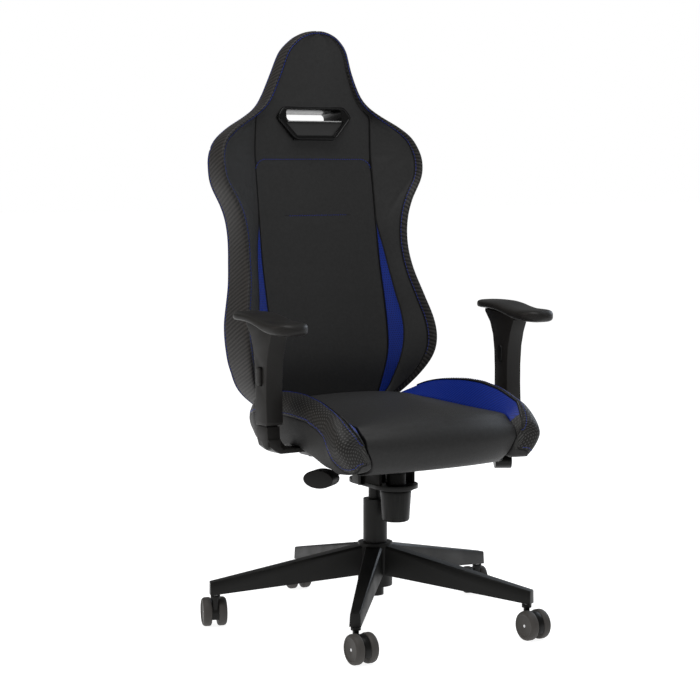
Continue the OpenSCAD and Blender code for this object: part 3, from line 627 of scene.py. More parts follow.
# points of the front surface on one row from the centre (0) over the panel edge (1) to the seam (2)
def frontRow(k):
    x, z = seamLine[k]
    p, y0, yw = panelX[k], lead[k], wing[k]
    span = x - p
    return np.array([(0, y0 - 3, z), (p * 0.35, y0 - 2, z), (p * 0.7, y0 + (yw - y0) * 0.02, z),
                     (p, y0 + (yw - y0) * 0.06, z), (p + span * 0.3, y0 + (yw - y0) * 0.18, z),
                     (p + span * 0.62, y0 + (yw - y0) * 0.4, z),
                     (p + span * 0.86, y0 + (yw - y0) * 0.57, z), (x, y0 + (yw - y0) * 0.66, z)]) * stretch


frontPaths = []
for k in range(rowCount):
    path = smoothPath(frontRow(k), 10)
    frontPaths.append((path[:31], path[30:]))   # centre to panel edge, panel edge to seam

# the centre: one padded cover from the foot to the top of the head
centreSizes = {"columns": 17, "back": 40.0, "behind": 16, "swell": 0.007}
# a wing has 20 columns of points over its face, the first 5 of them over the wedge
wingSizes = {"face": 20, "wedge": 5, "swell": 0.009}


def makeCentre():
    columns = centreSizes["columns"]
    points, cover, held = [], [], []
    grid = np.zeros((rowCount, 2 * columns - 1), int)
    rearGrid = np.zeros_like(grid)
    for k in range(rowCount):
        half = evenly(frontPaths[k][0], columns)
        row = np.concatenate([half[:0:-1] * (-1, 1, 1), half])
        for c, p in enumerate(row):
            grid[k, c] = len(points)
            points.append(p)
            cover.append((p[0] / 1000, alongEdge[k] / 1000))
    # the rear face lies inside the back, 40 mm behind, or 16 mm before its rear
    for k in range(rowCount):
        y = min(lead[k] + centreSizes["back"], rearY[k] - centreSizes["behind"])
        for c in range(2 * columns - 1):
            p = points[grid[k, c]]
            rearGrid[k, c] = len(points)
            points.append((p[0], max(y, p[1] + 6), p[2]))
            cover.append((p[0] / 1000, alongEdge[k] / 1000))
    faces = []
    last = 2 * columns - 2
    for k in range(rowCount - 1):
        for c in range(last):
            faces.append((grid[k, c], grid[k, c + 1], grid[k + 1, c + 1], grid[k + 1, c]))
            faces.append((rearGrid[k, c + 1], rearGrid[k, c], rearGrid[k + 1, c], rearGrid[k + 1, c + 1]))
        faces.append((grid[k, 0], grid[k + 1, 0], rearGrid[k + 1, 0], rearGrid[k, 0]))
        faces.append((grid[k + 1, last], grid[k, last], rearGrid[k, last], rearGrid[k + 1, last]))
    for c in range(last):
        faces.append((grid[0, c + 1], grid[0, c], rearGrid[0, c], rearGrid[0, c + 1]))
        faces.append((grid[-1, c], grid[-1, c + 1], rearGrid[-1, c + 1], rearGrid[-1, c]))
    points = np.array(points)
    x, z = np.abs(points[:, 0]), points[:, 2] / backFrame["scale"]
    # distance to the panel's seam, to the tuck line and to the edge
    top, corner = backSizes["panelTop"] / backFrame["scale"], backSizes["panelCorner"]
    side = panelAt(np.minimum(z, top - corner))
    qx, qz = x - (side - corner), z - (top - corner)
    rounded = np.where((qx > 0) & (qz > 0), np.abs(np.hypot(qx, qz) - corner), np.minimum(
        np.where(z < top - corner, 99, np.abs(z - top)) + np.where(x > side - corner, 99, 0), 99))
    edgeX = np.interp(points[:, 2], zFront * backFrame["scale"], panelX)
    toEdge = np.abs(x - edgeX)
    toTop = np.hypot(points[:, 0], points[:, 2] - seamLine[-1, 1] * backFrame["scale"])
    tuckZ, tuckX = backSizes["tuck"]
    toTuck = np.hypot(np.maximum(x - tuckX, 0), points[:, 2] - tuckZ)
    front = np.zeros(len(points), bool)
    front[grid.ravel()] = True
    seam = np.minimum(np.minimum(rounded, toEdge), toTop)
    held = np.where(front, np.clip(1.25 - seam / 7, 0, 1), 1.0)
    held = np.where(front, np.maximum(held, 0.75 * np.clip(1 - toTuck / 9, 0, 1)), 1.0)
    held[grid[0]] = held[grid[-1]] = 1
    # the seams pull the cover in
    groove = np.where(front, 2.2 * np.exp(-(rounded / 5) ** 2) + 1.4 * np.exp(-(toTuck / 6) ** 2), 0)
    points[:, 1] += groove
    placed = fromBack(points)
    shown = np.minimum(np.minimum(rounded, np.where(z > backSizes["oneCover"], 99, toEdge)), toTuck + 0.9)
    piece = meshPiece("back_centre_cover", placed, faces, [smoothLeather], cover=cover, seam=shown / 1000)
    turnOutwards(piece)
    swell(piece, held, centreSizes["swell"])
    rim = np.zeros(len(points), bool)
    rim[grid[:, 0]] = rim[grid[:, -1]] = True
    creased(piece, rim, 0.93)
    subdivided(piece)
    return piece


# one row of a wing: points across its face, then round its side to the rear edge
def wingColumns(k):
    inner = frontPaths[k][1]
    # arc length at which the wedge ends, kept a little inside the face
    length = lengthAlong(inner)
    slopeFactor = length[-1] / max(abs(inner[-1, 0] - inner[0, 0]), 0.5)
    cut = min(float(wedgeAt(zFront[k])) * slopeFactor, length[-1] * 0.45)
    wedge, columns = wingSizes["wedge"], wingSizes["face"]
    at = np.concatenate([np.linspace(0, cut, wedge), np.linspace(cut, length[-1], columns - wedge + 1)[1:]])
    face = np.stack([np.interp(at, length, inner[:, i]) for i in range(3)], axis=1)
    x, z = edge[k]
    nx, nz = outward[k]
    y0, y1 = wingEdge[k], bandRear[k]
    turn = []
    inset, rise = float(insetAt(z)), float(leadAt(z))
    # off is a share of the seam's inset from the outline
    for off, y in ((0.72, y0 + rise * 0.17), (0.44, y0 + rise * 0.05 + 0.6),
                   (0.18, y0 + 3.4), (0.04, y0 + 11)):
        turn.append((x - nx * off * inset, y, z - nz * off * inset))
    for share in (0.25, 0.4, 0.55, 0.7, 0.85):
        turn.append((x + 0.8 * math.sin(share * math.pi) * nx, y0 + 13 + (y1 - y0 - 19) * share,
                     z + 0.8 * math.sin(share * math.pi) * nz))
    for off, y in ((0.2, y1 - 5), (1.6, y1 - 2), (4, y1)):
        turn.append((x - nx * off, y, z - nz * off))
    return face, np.array(turn) * stretch


# a wing: its front face with the blue wedge, and the ribbed band round its side
def makeWing(side, sign):
    rows, cover, kinds = [], [], []
    for k in range(rowCount):
        face, turn = wingColumns(k)
        rearCorner = min(lead[k] + centreSizes["back"], rearY[k] - centreSizes["behind"])
        rear = np.array([(panelX[k], rearCorner, zFront[k])]) * stretch
        rear[0, 1] = max(rear[0, 1], face[0, 1] + 6)
        row = np.concatenate([face, turn, rear])
        across = lengthAlong(row)
        rows.append(row)
        bandStart = across[len(face) - 1]
        cover.append(np.stack([(across - bandStart) / 1000,
                               np.full(len(row), alongEdge[k] / 1000)], axis=1))
    width = len(rows[0])
    faceColumns = wingSizes["face"]
    points = np.concatenate(rows)
    points[:, 0] = np.maximum(points[:, 0], 0.0)
    # faces of the wedge are 1, of the plain face 0 and of the ribbed band 2
    kinds = []
    for z in zFront[:-1]:
        for c in range(width):
            if c >= faceColumns - 1 or z >= backSizes["ribbedHead"]:
                kind = 2
            else:
                kind = 0
            if c < wingSizes["wedge"] - 1 and z < backSizes["wedgeTop"]:
                kind = 1
            kinds.append(kind)
    bottom, top = capFaces(rowCount, width)
    faces = tubeFaces(rowCount, width) + [bottom, top[::-1]]
    kinds += [2, 2]
    index = np.tile(np.arange(width), rowCount)
    rowOf = np.repeat(np.arange(rowCount), width)
    # how far across its row each point is, and where the wedge, the face and the band end
    length = np.concatenate([lengthAlong(row) for row in rows])
    wedgeEnds, starts, bandEnds = (
        np.repeat([np.linalg.norm(np.diff(row[:columns], axis=0), axis=1).sum() for row in rows], width)
        for columns in (wingSizes["wedge"], faceColumns, width - 1))
    toPanel, toSeam, toRear = length, np.abs(length - starts), np.abs(length - bandEnds)
    toWedge = np.where(zFront[rowOf] < backSizes["wedgeTop"] + 2, np.abs(length - wedgeEnds), 99)
    slantedSeam = np.abs(points[:, 2] / backFrame["scale"] - backSizes["bandSeam"] - 0.25 * (length - starts))
    toBandSeam = np.where(index >= faceColumns, slantedSeam, 99)
    seam = np.minimum.reduce([np.where(zFront[rowOf] > backSizes["oneCover"], 99, toPanel), toSeam, toWedge,
                              toRear, toBandSeam])
    held = np.clip(1.2 - np.minimum(toPanel, toSeam) / 8, 0, 1)
    held = np.maximum(held, np.clip(1.0 - toWedge / 6, 0, 1) * 0.8)
    held[(index >= faceColumns) | (zFront[rowOf] > backSizes["bandSeam"]) | (rowOf < 1)] = 1
    groove = 1.2 * np.exp(-(toWedge / 4) ** 2)
    points[:, 1] += np.where(index < faceColumns, groove, 0)
    points[:, 0] *= sign
    piece = meshPiece("back_wing_cover_" + side, fromBack(points), faces,
                      [smoothLeather, blueHoles, carbonLeather], kinds, np.concatenate(cover), seam / 1000)
    turnOutwards(piece)
    swell(piece, held, wingSizes["swell"])
    creased(piece, index == 0, 0.93)
    subdivided(piece)
    return piece


# rear shell: leather over a board behind the back, closed with an inner face 5 mm inside it; its seams
# are at a share of the half width and at a height
shellSizes = {"columns": 25, "skip": 3, "wall": 5, "seamShare": 0.62, "seamHeight": 470}


def makeShell():
    columns, skip = shellSizes["columns"], shellSizes["skip"]
    points, grid = [], np.zeros((rowCount - 2 * skip, 2 * columns - 1), int)
    innerGrid = np.zeros_like(grid)
    for row, k in enumerate(range(skip, rowCount - skip)):
        x, z = edge[k]
        nx, nz = outward[k]
        y1, yr = bandRear[k], rearY[k]
        start = np.array((max(x - nx * 5, 0.5), y1 + 0.6, z - nz * 5))
        path = smoothPath([(0, yr, zFront[k]), (start[0] * 0.35, yr - 1, zFront[k]),
                           (start[0] * 0.66, yr - (yr - y1) * 0.12, zFront[k] * 0.7 + start[2] * 0.3),
                           (start[0] * 0.88, yr - (yr - y1) * 0.55, start[2]), start], 10)
        half = evenly(path, columns)
        full = np.concatenate([half[:0:-1] * (-1, 1, 1), half]) * stretch
        for c, p in enumerate(full):
            grid[row, c] = len(points)
            points.append(p)
    outer = len(points)
    for row in range(grid.shape[0]):
        for c in range(grid.shape[1]):
            p = points[grid[row, c]]
            innerGrid[row, c] = len(points)
            points.append((p[0] * 0.97, p[1] - shellSizes["wall"], p[2]))
    faces = []
    last = grid.shape[1] - 1
    for k in range(grid.shape[0] - 1):
        for c in range(last):
            faces.append((grid[k, c], grid[k + 1, c], grid[k + 1, c + 1], grid[k, c + 1]))
            faces.append((innerGrid[k, c], innerGrid[k, c + 1], innerGrid[k + 1, c + 1],
                          innerGrid[k + 1, c]))
        for c in (0, last):
            faces.append((grid[k, c], innerGrid[k, c], innerGrid[k + 1, c], grid[k + 1, c]))
    for k in (0, grid.shape[0] - 1):
        for c in range(last):
            faces.append((grid[k, c], grid[k, c + 1], innerGrid[k, c + 1], innerGrid[k, c]))
    points = np.array(points)
    # a seam up each side of the rear and one across the shoulders
    halfWidth = np.interp(points[:, 2], zEdge * backFrame["scale"], edge[:, 0])
    share = np.abs(points[:, 0]) / halfWidth
    toSide = np.abs(share - shellSizes["seamShare"]) * halfWidth
    above = points[:, 2] - shellSizes["seamHeight"]
    seam = np.where(above < 0, toSide, np.hypot(toSide, np.maximum(above, 0)))
    seam = np.minimum(seam, np.where(share < shellSizes["seamShare"], np.abs(above), 99))
    points[:, 1] -= np.where(np.arange(len(points)) < outer, 1.6 * np.exp(-(seam / 5) ** 2), 0)
    piece = meshPiece("rear_shell_cover", fromBack(points), faces, [rearLeather],
                      cover=points[:, [0, 2]] / 1000, seam=seam / 1000)
    turnOutwards(piece)
    subdivided(piece)
    return piece


# the six-sided bezel round the opening, in mm about its middle: the hole in the covers, its fit, and
# the rim and the lip that stand on its front
bezelSizes = {"hole": [(-93.5, 0), (-76.5, 21), (76.5, 21), (93.5, 0), (50.5, -47), (-50.5, -47)],
              "fit": 1 + 0.4 / 90, "middle": 590.0, "through": (-110, 170),
              "rim": [(-92.5, 0), (-76, 20), (76, 20), (92.5, 0), (50, -46), (-50, -46)],
              "rimCorner": 9, "front": -18.5, "lipHalf": 68, "lipDrop": 8.6}


def cutForBezel(piece):
    fit, middle = bezelSizes["fit"], bezelSizes["middle"]
    ring = [(x * fit, z * fit + middle) for x, z in bezelSizes["hole"]]
    points = fromBack([(x, y, z) for y in bezelSizes["through"] for x, z in ring])
    cutter = meshPiece("cutter", points, blockFaces(len(ring)), [])
    turnOutwards(cutter)
    modifier = piece.modifiers.new("hole", "BOOLEAN")
    modifier.operation, modifier.solver, modifier.object = "DIFFERENCE", "EXACT", cutter
    graph = bpy.context.evaluated_depsgraph_get()
    cut = bpy.data.meshes.new_from_object(piece.evaluated_get(graph), preserve_all_data_layers=True,
                                          depsgraph=graph)
    piece.modifiers.clear()
    piece.data = cut
    bpy.data.objects.remove(cutter)


backCentre = makeCentre()
cutForBezel(backCentre)
standIn(backCentre, "back_cushion", "seat")
for side, sign in (("left", -1), ("right", 1)):
    backWing = makeWing(side, sign)
    standIn(backWing, "back_wing_" + side, "seat")
rearCover = makeShell()
cutForBezel(rearCover)
standIn(rearCover, "rear_shell", "seat")
print("back made")

# the seat, in mm: the profile of its centre cushion in (y, z), and the bolsters' stations
seatSizes = {
    "profile": [(118, 396.5), (142, 404), (152, 440), (138, 460), (60, 459), (-80, 455), (-196, 453),
                (-232, 446), (-254, 430), (-264.5, 407), (-262, 380), (-249, 360), (-226, 351),
                (-200, 352), (-194, 372), (-150, 388), (0, 392), (90, 392)],
    "half": 182.6, "roll": 4.0, "crown": 5.0, "steps": 6, "edgeDrop": 6.0, "recede": 24.0,
    "narrowing": 0.12, "swell": 0.007,
    # y, bottom, crest, bulge, skirt, the lower seam's height as a share, the centre's top beside it
    "stations": [(146, 400, 462, -0.4, 0, 0.55, 457), (104, 396.5, 481, 0.45, 4, 0.55, 457),
                 (80, 396.5, 487, 0.85, 5, 0.58, 456), (20, 396.5, 494, 1, 5, 0.6, 453),
                 (-30, 396.5, 497, 1, 4, 0.6, 451), (-48, 396.5, 497, 1, 0.4, 0.6, 450),
                 (-80, 396.5, 496, 1, 0.4, 0.6, 449), (-96, 396, 494, 1, 5, 0.6, 449),
                 (-130, 396, 489, 1, 14, 0.58, 448), (-184, 394, 473, 0.96, 27, 0.45, 447),
                 (-200, 372, 468, 0.95, 8, 0.34, 446), (-215, 360, 462, 0.94, 2, 0.2, 444),
                 (-232, 358, 453, 0.93, 0, 0.05, 439), (-248, 360, 440, 0.92, 0, 0.02, 427),
                 (-258, 364, 429, 0.9, 0, 0.02, 417), (-264, 376, 416, 0.88, 0, 0.02, 404)],
    # how far the bolster's inner seam comes in towards the back, and where it starts
    "gather": (34.0, -60.0),
    "outerWidth": 249.0}


# the front of the seat is bowed in plan, and its centre narrows towards the bottom
def seatFront(points):
    out = np.array(points, float)
    x, y, z = np.abs(out[:, 0]), out[:, 1].copy(), out[:, 2].copy()
    half = seatSizes["half"]
    front = np.clip((-190 - y) / 55, 0, 1)
    front = front * front * (3 - 2 * front)
    back = seatSizes["recede"] * np.minimum(x / half, 1) ** 2.5 - 16 * np.clip((x - half) / 60, 0, 1)
    out[:, 1] += back * front
    low = np.clip((405 - z) / 45, 0, 1)
    out[:, 0] *= 1 - seatSizes["narrowing"] * front * low * np.clip(2 - x / half, 0, 1)
    return out


def makeSeatCentre():
    path = smoothPath(seatSizes["profile"], seatSizes["steps"], closed=True)
    n = len(path)
    step = np.roll(path, -1, axis=0) - np.roll(path, 1, axis=0)
    step /= np.linalg.norm(step, axis=1, keepdims=True)
    inward = np.stack([step[:, 1], -step[:, 0]], axis=1)
    middle = np.array([-60.0, 415.0])
    if ((path + inward - middle) ** 2).sum() > ((path - middle) ** 2).sum():
        inward = -inward
    half, roll = seatSizes["half"], seatSizes["roll"]
    rolled = half - roll * np.array([0.1, 0.35, 0.7, 1.0])   # closer columns over the rolled edge
    xs = np.unique(np.round(np.concatenate([[half], rolled, np.linspace(half - roll, 0, 18)[1:]]), 4))
    xs = np.concatenate([-xs[:0:-1], xs])
    length = lengthAlong(path)
    points, cover, ends = [], [], []
    for x in xs:
        d = half - abs(x)
        inset = roll - math.sqrt(max(roll ** 2 - (roll - min(d, roll)) ** 2, 0))
        crown = seatSizes["crown"] * (1 - (x / half) ** 2)
        for i in range(n):
            y, z = path[i] + inward[i] * inset
            top = 1.0 if z > 440 else 0.5 if y < -230 else 0.0
            lift = crown * top
            points.append((x, y - (lift * 0.6 if y < -245 else 0), z + (lift if z > 440 else 0)))
            cover.append((x / 1000, length[i] / 1000))
            ends.append(d)
    faces = tubeFaces(len(xs), n) + capFaces(len(xs), n)
    points, ends = np.array(points), np.array(ends)
    dip = seatSizes["edgeDrop"] * (np.abs(points[:, 0]) / half) ** 3
    points[:, 2] -= dip * np.clip((points[:, 2] - 425) / 15, 0, 1)
    points = seatFront(points)
    hidden = (points[:, 2] < 400) & (points[:, 1] > -236)
    held = np.where(hidden, 1.0, np.clip(1.3 - ends / 14, 0, 1))
    piece = meshPiece("seat_centre_cover", points / 1000, faces, [smoothLeather], cover=cover,
                      seam=np.maximum(ends, 0) / 1000)
    turnOutwards(piece)
    swell(piece, held, seatSizes["swell"])
    subdivided(piece)
    return piece


# columns of points up the bolster's side, over its band and down its inner face
bolsterParts = {"lower": 12, "band": 12, "inner": 8}
bolsterLines = {}


def makeBolster(side, sign):
    table = np.array(seatSizes["stations"], float)[::-1]
    values = [smoothTable(list(zip(table[:, 0], table[:, i]))) for i in range(1, 7)]
    # the nose is rounded in plan over its last 64 mm, on a boxy curve
    boxy = 2 / 5.0
    turns = np.linspace(math.asin(0.78 ** 2.5), math.radians(88.5), 11)[1:]
    ys = np.concatenate([np.linspace(146, -200, 50), np.linspace(-200, -250, 11)[1:],
                         -200 - 64 * np.sin(turns) ** boxy])
    x0, outer = seatSizes["half"] + 0.9, seatSizes["outerWidth"]
    rows, cover, travelled, crestBefore = [], [], 0.0, None
    for r, y in enumerate(ys):
        low, crest, bulge, hang, share, beside = [float(v(y)) for v in values]
        nose = min(max((-200 - y) / 64, 0), 0.9999)
        q = (1 - nose ** 5) ** (1 / 5)
        pull, pullStart = seatSizes["gather"]
        inner = x0 - pull * min(max((y - pullStart) / 206, 0), 1) ** 1.5
        x1 = x0 + (outer - 22 + 22 * bulge - x0) * q
        crestX = x0 + (outer - 54 + 22 * bulge - x0) * q * (1 - 0.4 * nose)
        innerZ = min(beside - 2, crest - 3)
        path = smoothPath([(x1 - 12 * q, low - hang), (x1 - 3 * q, low + (crest - low) * 0.26),
                           (x1, low + (crest - low) * 0.56), (x1 - 5 * q, crest - 16 * q),
                           (x1 - (x1 - crestX) * 0.5, crest - 2.6), (crestX, crest),
                           (inner, innerZ)], 8)
        stitchZ = low + (crest - low) * share
        stitch = int(np.argmin(np.abs(path[:24, 1] - stitchZ) + np.where(np.arange(24) < 1, 99, 0)))
        top = 40
        parts = [evenly(path[:stitch + 1], bolsterParts["lower"] + 1)[:-1],
                 evenly(path[stitch:top + 1], bolsterParts["band"] + 1)[:-1],
                 evenly(path[top:], bolsterParts["inner"] + 1)]
        under = np.array([(x0, (path[-1, 1] + low) / 2), (x0, low), (x1 - 30 * q, low),
                          (x1 - 26 * q, low - hang)])
        ring = np.concatenate(parts + [under])
        across = lengthAlong(ring)
        rows.append(np.column_stack([ring[:, 0], np.full(len(ring), y), ring[:, 1]]))
        start = across[bolsterParts["lower"]]
        crestNow = np.array([ring[bolsterParts["lower"] + 6, 0], y, ring[bolsterParts["lower"] + 6, 1]])
        travelled += float(np.linalg.norm(crestNow - crestBefore)) if r else 0.0
        crestBefore = crestNow
        cover.append(np.column_stack([(across - start) / 1000, np.full(len(ring), travelled / 1000)]))
    width = len(rows[0])
    points = np.concatenate(rows)
    lower, crestColumn = bolsterParts["lower"], bolsterParts["lower"] + bolsterParts["band"]
    innerEnd = crestColumn + bolsterParts["inner"]
    count = len(ys)
    faces = tubeFaces(count, width) + capFaces(count, width)
    # the slotted band runs on round the nose, in place of the blue inner face
    kinds = [0 if c < lower or c >= innerEnd else 1 if c < crestColumn or y < -236 else 2
             for y in ys[:-1] for c in range(width)] + [1, 1]
    column = np.tile(np.arange(width), count)
    rowOf = np.repeat(np.arange(count), width)
    across = np.concatenate([lengthAlong(row) for row in rows])
    marks = [np.repeat(across.reshape(count, width)[:, c], width) for c in (lower, crestColumn, innerEnd)]
    distance = np.minimum.reduce([np.abs(across - m) for m in marks])
    held = np.where(column > innerEnd, 1.0, np.clip(1.1 - distance / 8, 0, 1) * 0.9)
    held[(column == innerEnd) | (rowOf < 2) | (rowOf > count - 3) | (column < 1)] = 1
    points[:, 0] -= np.where((column > 0) & (column <= crestColumn), 1.1 * np.exp(-(distance / 4) ** 2), 0)
    points = seatFront(points)
    points[:, 0] *= sign
    piece = meshPiece("seat_bolster_cover_" + side, points / 1000, faces,
                      [smoothLeather, slotLeather, blueRibs], kinds, np.concatenate(cover), distance / 1000)
    turnOutwards(piece)
    swell(piece, held, seatSizes["swell"])
    final = pointsOf(piece.data).reshape(count, width, 3)
    bolsterLines[side] = {name: final[3:-1, c] for name, c in
                          (("lower", lower + 1), ("crestOut", crestColumn - 1), ("crest", crestColumn),
                           ("inner", innerEnd - 1))}
    subdivided(piece)
    return piece


seatCentre = makeSeatCentre()
standIn(seatCentre, "seat_cushion", "seat")
for side, sign in (("left", -1), ("right", 1)):
    bolster = makeBolster(side, sign)
    standIn(bolster, "seat_bolster_" + side, "seat")
print("seat made")


# a seam's line moved a little, in mm
def shifted(line, offset):
    return np.asarray(line) + np.asarray(offset) / 1000


for side, sign in (("left", -1), ("right", 1)):
    lines = bolsterLines[side]
    stitchPiece("seat_stitches_" + side, [
        shifted(lines["lower"], (sign * 0.7, 0, 0)), shifted(lines["crestOut"], (sign * 0.5, 0, 0.5))],
        "seat")
    weltPiece("seat_crest_welt_" + side, shifted(lines["crest"], (sign * 0.2, 0, 0.3)), 0.0019,
              pipingLeather, "seat")


# the band's seams: just behind the front seam, and just before the rear edge
def bandLine(sign, depthFromFront=None, fromRear=None):
    line = []
    for k in range(2, rowCount):
        x, z = edge[k]
        nx, nz = outward[k]
        if fromRear is not None:
            line.append((x - nx * 0.1, bandRear[k] - fromRear, z - nz * 0.1))
        else:
            off = float(insetAt(z)) * 0.9
            y = wingEdge[k] + float(leadAt(z)) * 0.28 - depthFromFront
            line.append((x - nx * off, y, z - nz * off))
    line = np.array(line) * stretch
    line[:, 0] = line[:, 0] * sign
    return fromBack(line)


bothSides = [np.concatenate([bandLine(-1, depthFromFront=0.8), bandLine(1, depthFromFront=0.8)[::-1]]),
             np.concatenate([bandLine(-1, fromRear=5.5), bandLine(1, fromRear=5.5)[::-1]])]
stitchPiece("back_band_stitches", bothSides, "seat")
rearWelt = []
for sign in (-1, 1):
    line = np.array([(edge[k, 0] - outward[k, 0] * 3.2, bandRear[k] + 0.2, edge[k, 1] - outward[k, 1] * 3.2)
                     for k in range(3, rowCount)]) * stretch
    line[:, 0] *= sign
    rearWelt.append(fromBack(line))
weltPiece("back_rear_welt", np.concatenate([rearWelt[0], rearWelt[1][::-1][1:]]), 0.0022, pipingLeather,
          "seat")


# the thread above the centre panel's top seam
def panelStitchLine():
    top, corner = backSizes["panelTop"], backSizes["panelCorner"]
    side = float(panelAt(480.0)) - 0.5
    turn = [(side - corner + corner * math.sin(a), top - corner + corner * math.cos(a))
            for a in np.linspace(0, math.pi / 2 * 0.8, 9)]
    half = [(x, top) for x in np.linspace(0, side - corner, 12)[:-1]] + turn
    return [(-x, z) for x, z in half[:0:-1]] + half


# where spots (x, height) land on a piece's front, lift metres before it
def onFront(piece, spots, lift=0.0006):
    graph = bpy.context.evaluated_depsgraph_get()
    graph.update()
    shape = piece.evaluated_get(graph)
    lean = math.radians(backFrame["recline"])
    inwards = Vector((0, math.cos(lean), -math.sin(lean)))
    found = []
    for x, z in spots:
        start = Vector(fromBack((x, -160.0, z)))
        hit, place, normal, index = shape.ray_cast(start, inwards, distance=0.4)
        if hit:
            found.append(place - inwards * lift)
    return found


bpy.context.view_layer.update()
stitchPiece("back_panel_stitches", [onFront(backCentre, [(x, z + 2.2) for x, z in panelStitchLine()])],
            "seat", thickness=0.001)
tuckHeight, tuckHalf = backSizes["tuck"]
tuckSpots = [(x, tuckHeight) for x in np.linspace(-tuckHalf + 14, tuckHalf - 14, 24)]
stitchPiece("back_tuck_stitches", [onFront(backCentre, tuckSpots, 0.0001)], "seat",
            thickness=0.0007)
print("seams sewn")

# hard parts: a CAD shape with its edges rounded, in metres, or a piece drawn on it
jointAt = {j["name"]: j for j in frame["joints"]}
bodyOf = {node: body for body, nodes in frame["record"]["behaviour"]["bodies"].items() for node in nodes}
slotOf = {part["node"]: part["material_slot"] for part in frame["record"]["subparts"]}


def rounded(node, width, materials, **more):
    materials = materials if isinstance(materials, list) else [materials]
    return roundedCopy(node, width, materials, slotOf[node], bodyOf[node], **more)


rounded("base_star", 0.0014, baseNylon)
rounded("mechanism_housing", 0.0012, knobPlastic)
rounded("tension_knob", 0.0016, knobPlastic, segments=3)
rounded("handle_bezel", 0.0012, bezelPlastic)
rounded("handle_trim_plate", 0.0008, platePlastic)


# corners in mm, each rounded with a short curve
def roundedRing(corners, radius, steps=5):
    ring, n = [], len(corners)
    for i in range(n):
        a, b, c = (np.array(corners[(i + o) % n], float) for o in (-1, 0, 1))
        start = b + (a - b) / np.linalg.norm(a - b) * radius
        end = b + (c - b) / np.linalg.norm(c - b) * radius
        for t in np.linspace(0, 1, steps):
            ring.append((1 - t) ** 2 * start + 2 * t * (1 - t) * b + t ** 2 * end)
    return ring


bezelFront, bezelMiddle, lipHalf = (bezelSizes[key] for key in ("front", "middle", "lipHalf"))
rimLine = [(x, bezelFront, z + bezelMiddle)
           for x, z in roundedRing(bezelSizes["rim"], bezelSizes["rimCorner"])]
lipLine = [(x, bezelFront - 0.3, bezelMiddle - bezelSizes["lipDrop"])
           for x in np.linspace(-lipHalf, lipHalf, 12)]
weltPiece("bezel_rim", fromBack(rimLine), 0.0026, bezelPlastic, "seat", closed=True, sides=10)
# a thin grey tube along the lip: its light colour is a painted highlight
weltPiece("bezel_lip", fromBack(lipLine), 0.0011, lipHighlightGrey, "seat")
for side in ("left", "right"):
    rounded("arm_sleeve_" + side, 0.003, armPlastic, segments=3)
    rounded("arm_bracket_" + side, 0.0025, armPlastic, segments=3)
    rounded("arm_button_" + side, 0.0022, armPlastic, segments=3)
for node in ("lift_paddle", "tilt_lock_paddle"):
    rounded(node, 0.006, knobPlastic, segments=4)


# integral skin arm pad, in mm from its rear end: top and bottom from the pad's top, and half widths
padSizes = {
    "top": [(0, -11), (2, -5), (6, -2), (14, -0.5), (40, 0), (66, -0.3), (92, -3), (120, -8.5), (150, -12),
            (188, -12.5), (200, -13.6), (208, -17.5), (213, -25)],
    "bottom": [(0, -11.5), (2, -15), (8, -17.4), (20, -17.8), (50, -18), (90, -21.5), (120, -29),
               (140, -35), (165, -38.6), (196, -38.8), (205, -37), (210, -34), (213, -29)],
    "half": [(0, 5), (2, 13), (6, 20), (13, 28), (22, 34), (34, 38), (50, 38.8), (164, 38.8), (180, 37.5),
             (191, 34), (200, 28.5), (207, 20.5), (211, 13), (213, 5)],
    "square": 3.4, "around": 36, "length": 213, "swell": 0.001,
    # where the sections close up at the two ends
    "rearEnd": [0, 0.6, 1.6, 3, 5, 8, 12], "frontEnd": [197, 201, 204.5, 207.5, 209.8, 211.6, 212.6, 213]}


def armPad(side):
    node = "arm_pad_" + side
    low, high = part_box(node)
    middle, rear, top = (low[0] + high[0]) / 2, high[1], high[2]
    length = rear - low[1]
    tops, bottoms, halves = (smoothTable(padSizes[k]) for k in ("top", "bottom", "half"))
    at = np.concatenate([padSizes["rearEnd"], np.linspace(17, 192, 30), padSizes["frontEnd"]])
    around = padSizes["around"]
    turn = np.linspace(0, 2 * math.pi, around, endpoint=False)
    power = 2 / padSizes["square"]
    points = []
    for d in at:
        half, up, down = float(halves(d)), float(tops(d)), float(bottoms(d))
        across = np.sign(np.cos(turn)) * np.abs(np.cos(turn)) ** power * half
        rise = np.sign(np.sin(turn)) * np.abs(np.sin(turn)) ** power * (up - down) / 2 + (up + down) / 2
        y = rear - d / padSizes["length"] * length
        points += [(middle + a / 1000, y, top + r / 1000) for a, r in zip(across, rise)]
    faces = tubeFaces(len(at), around) + capFaces(len(at), around)
    pad = meshPiece("arm_pad_cover_" + side, points, faces, [armFoam])
    turnOutwards(pad)
    swell(pad, np.full(len(points), 0.6), padSizes["swell"])
    subdivided(pad)
    standIn(pad, node, bodyOf[node])


# a curved gusset in the corner between each bracket's foot and its post, in mm
gussetSizes = {"inner": 250.5, "outer": 283.0, "bottom": 388.5, "top": 439, "rise": 43, "middle": -64,
               "half": 12.2}


def bracketGusset(side, sign):
    inner, outer, bottom, top, rise, middle, half = gussetSizes.values()
    curve = [(outer - (outer - inner) * (1 - math.cos(t)), top - rise * math.sin(t))
             for t in np.linspace(0, math.pi / 2, 12)]
    outline = curve + [(inner, bottom), (outer, bottom)]
    points = [(sign * x / 1000, y / 1000, z / 1000) for y in (middle + half, middle - half)
              for x, z in outline]
    gusset = meshPiece("arm_gusset_" + side, points, blockFaces(len(outline)), [armPlastic])
    turnOutwards(gusset)
    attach(gusset, bodyOf["arm_bracket_" + side])


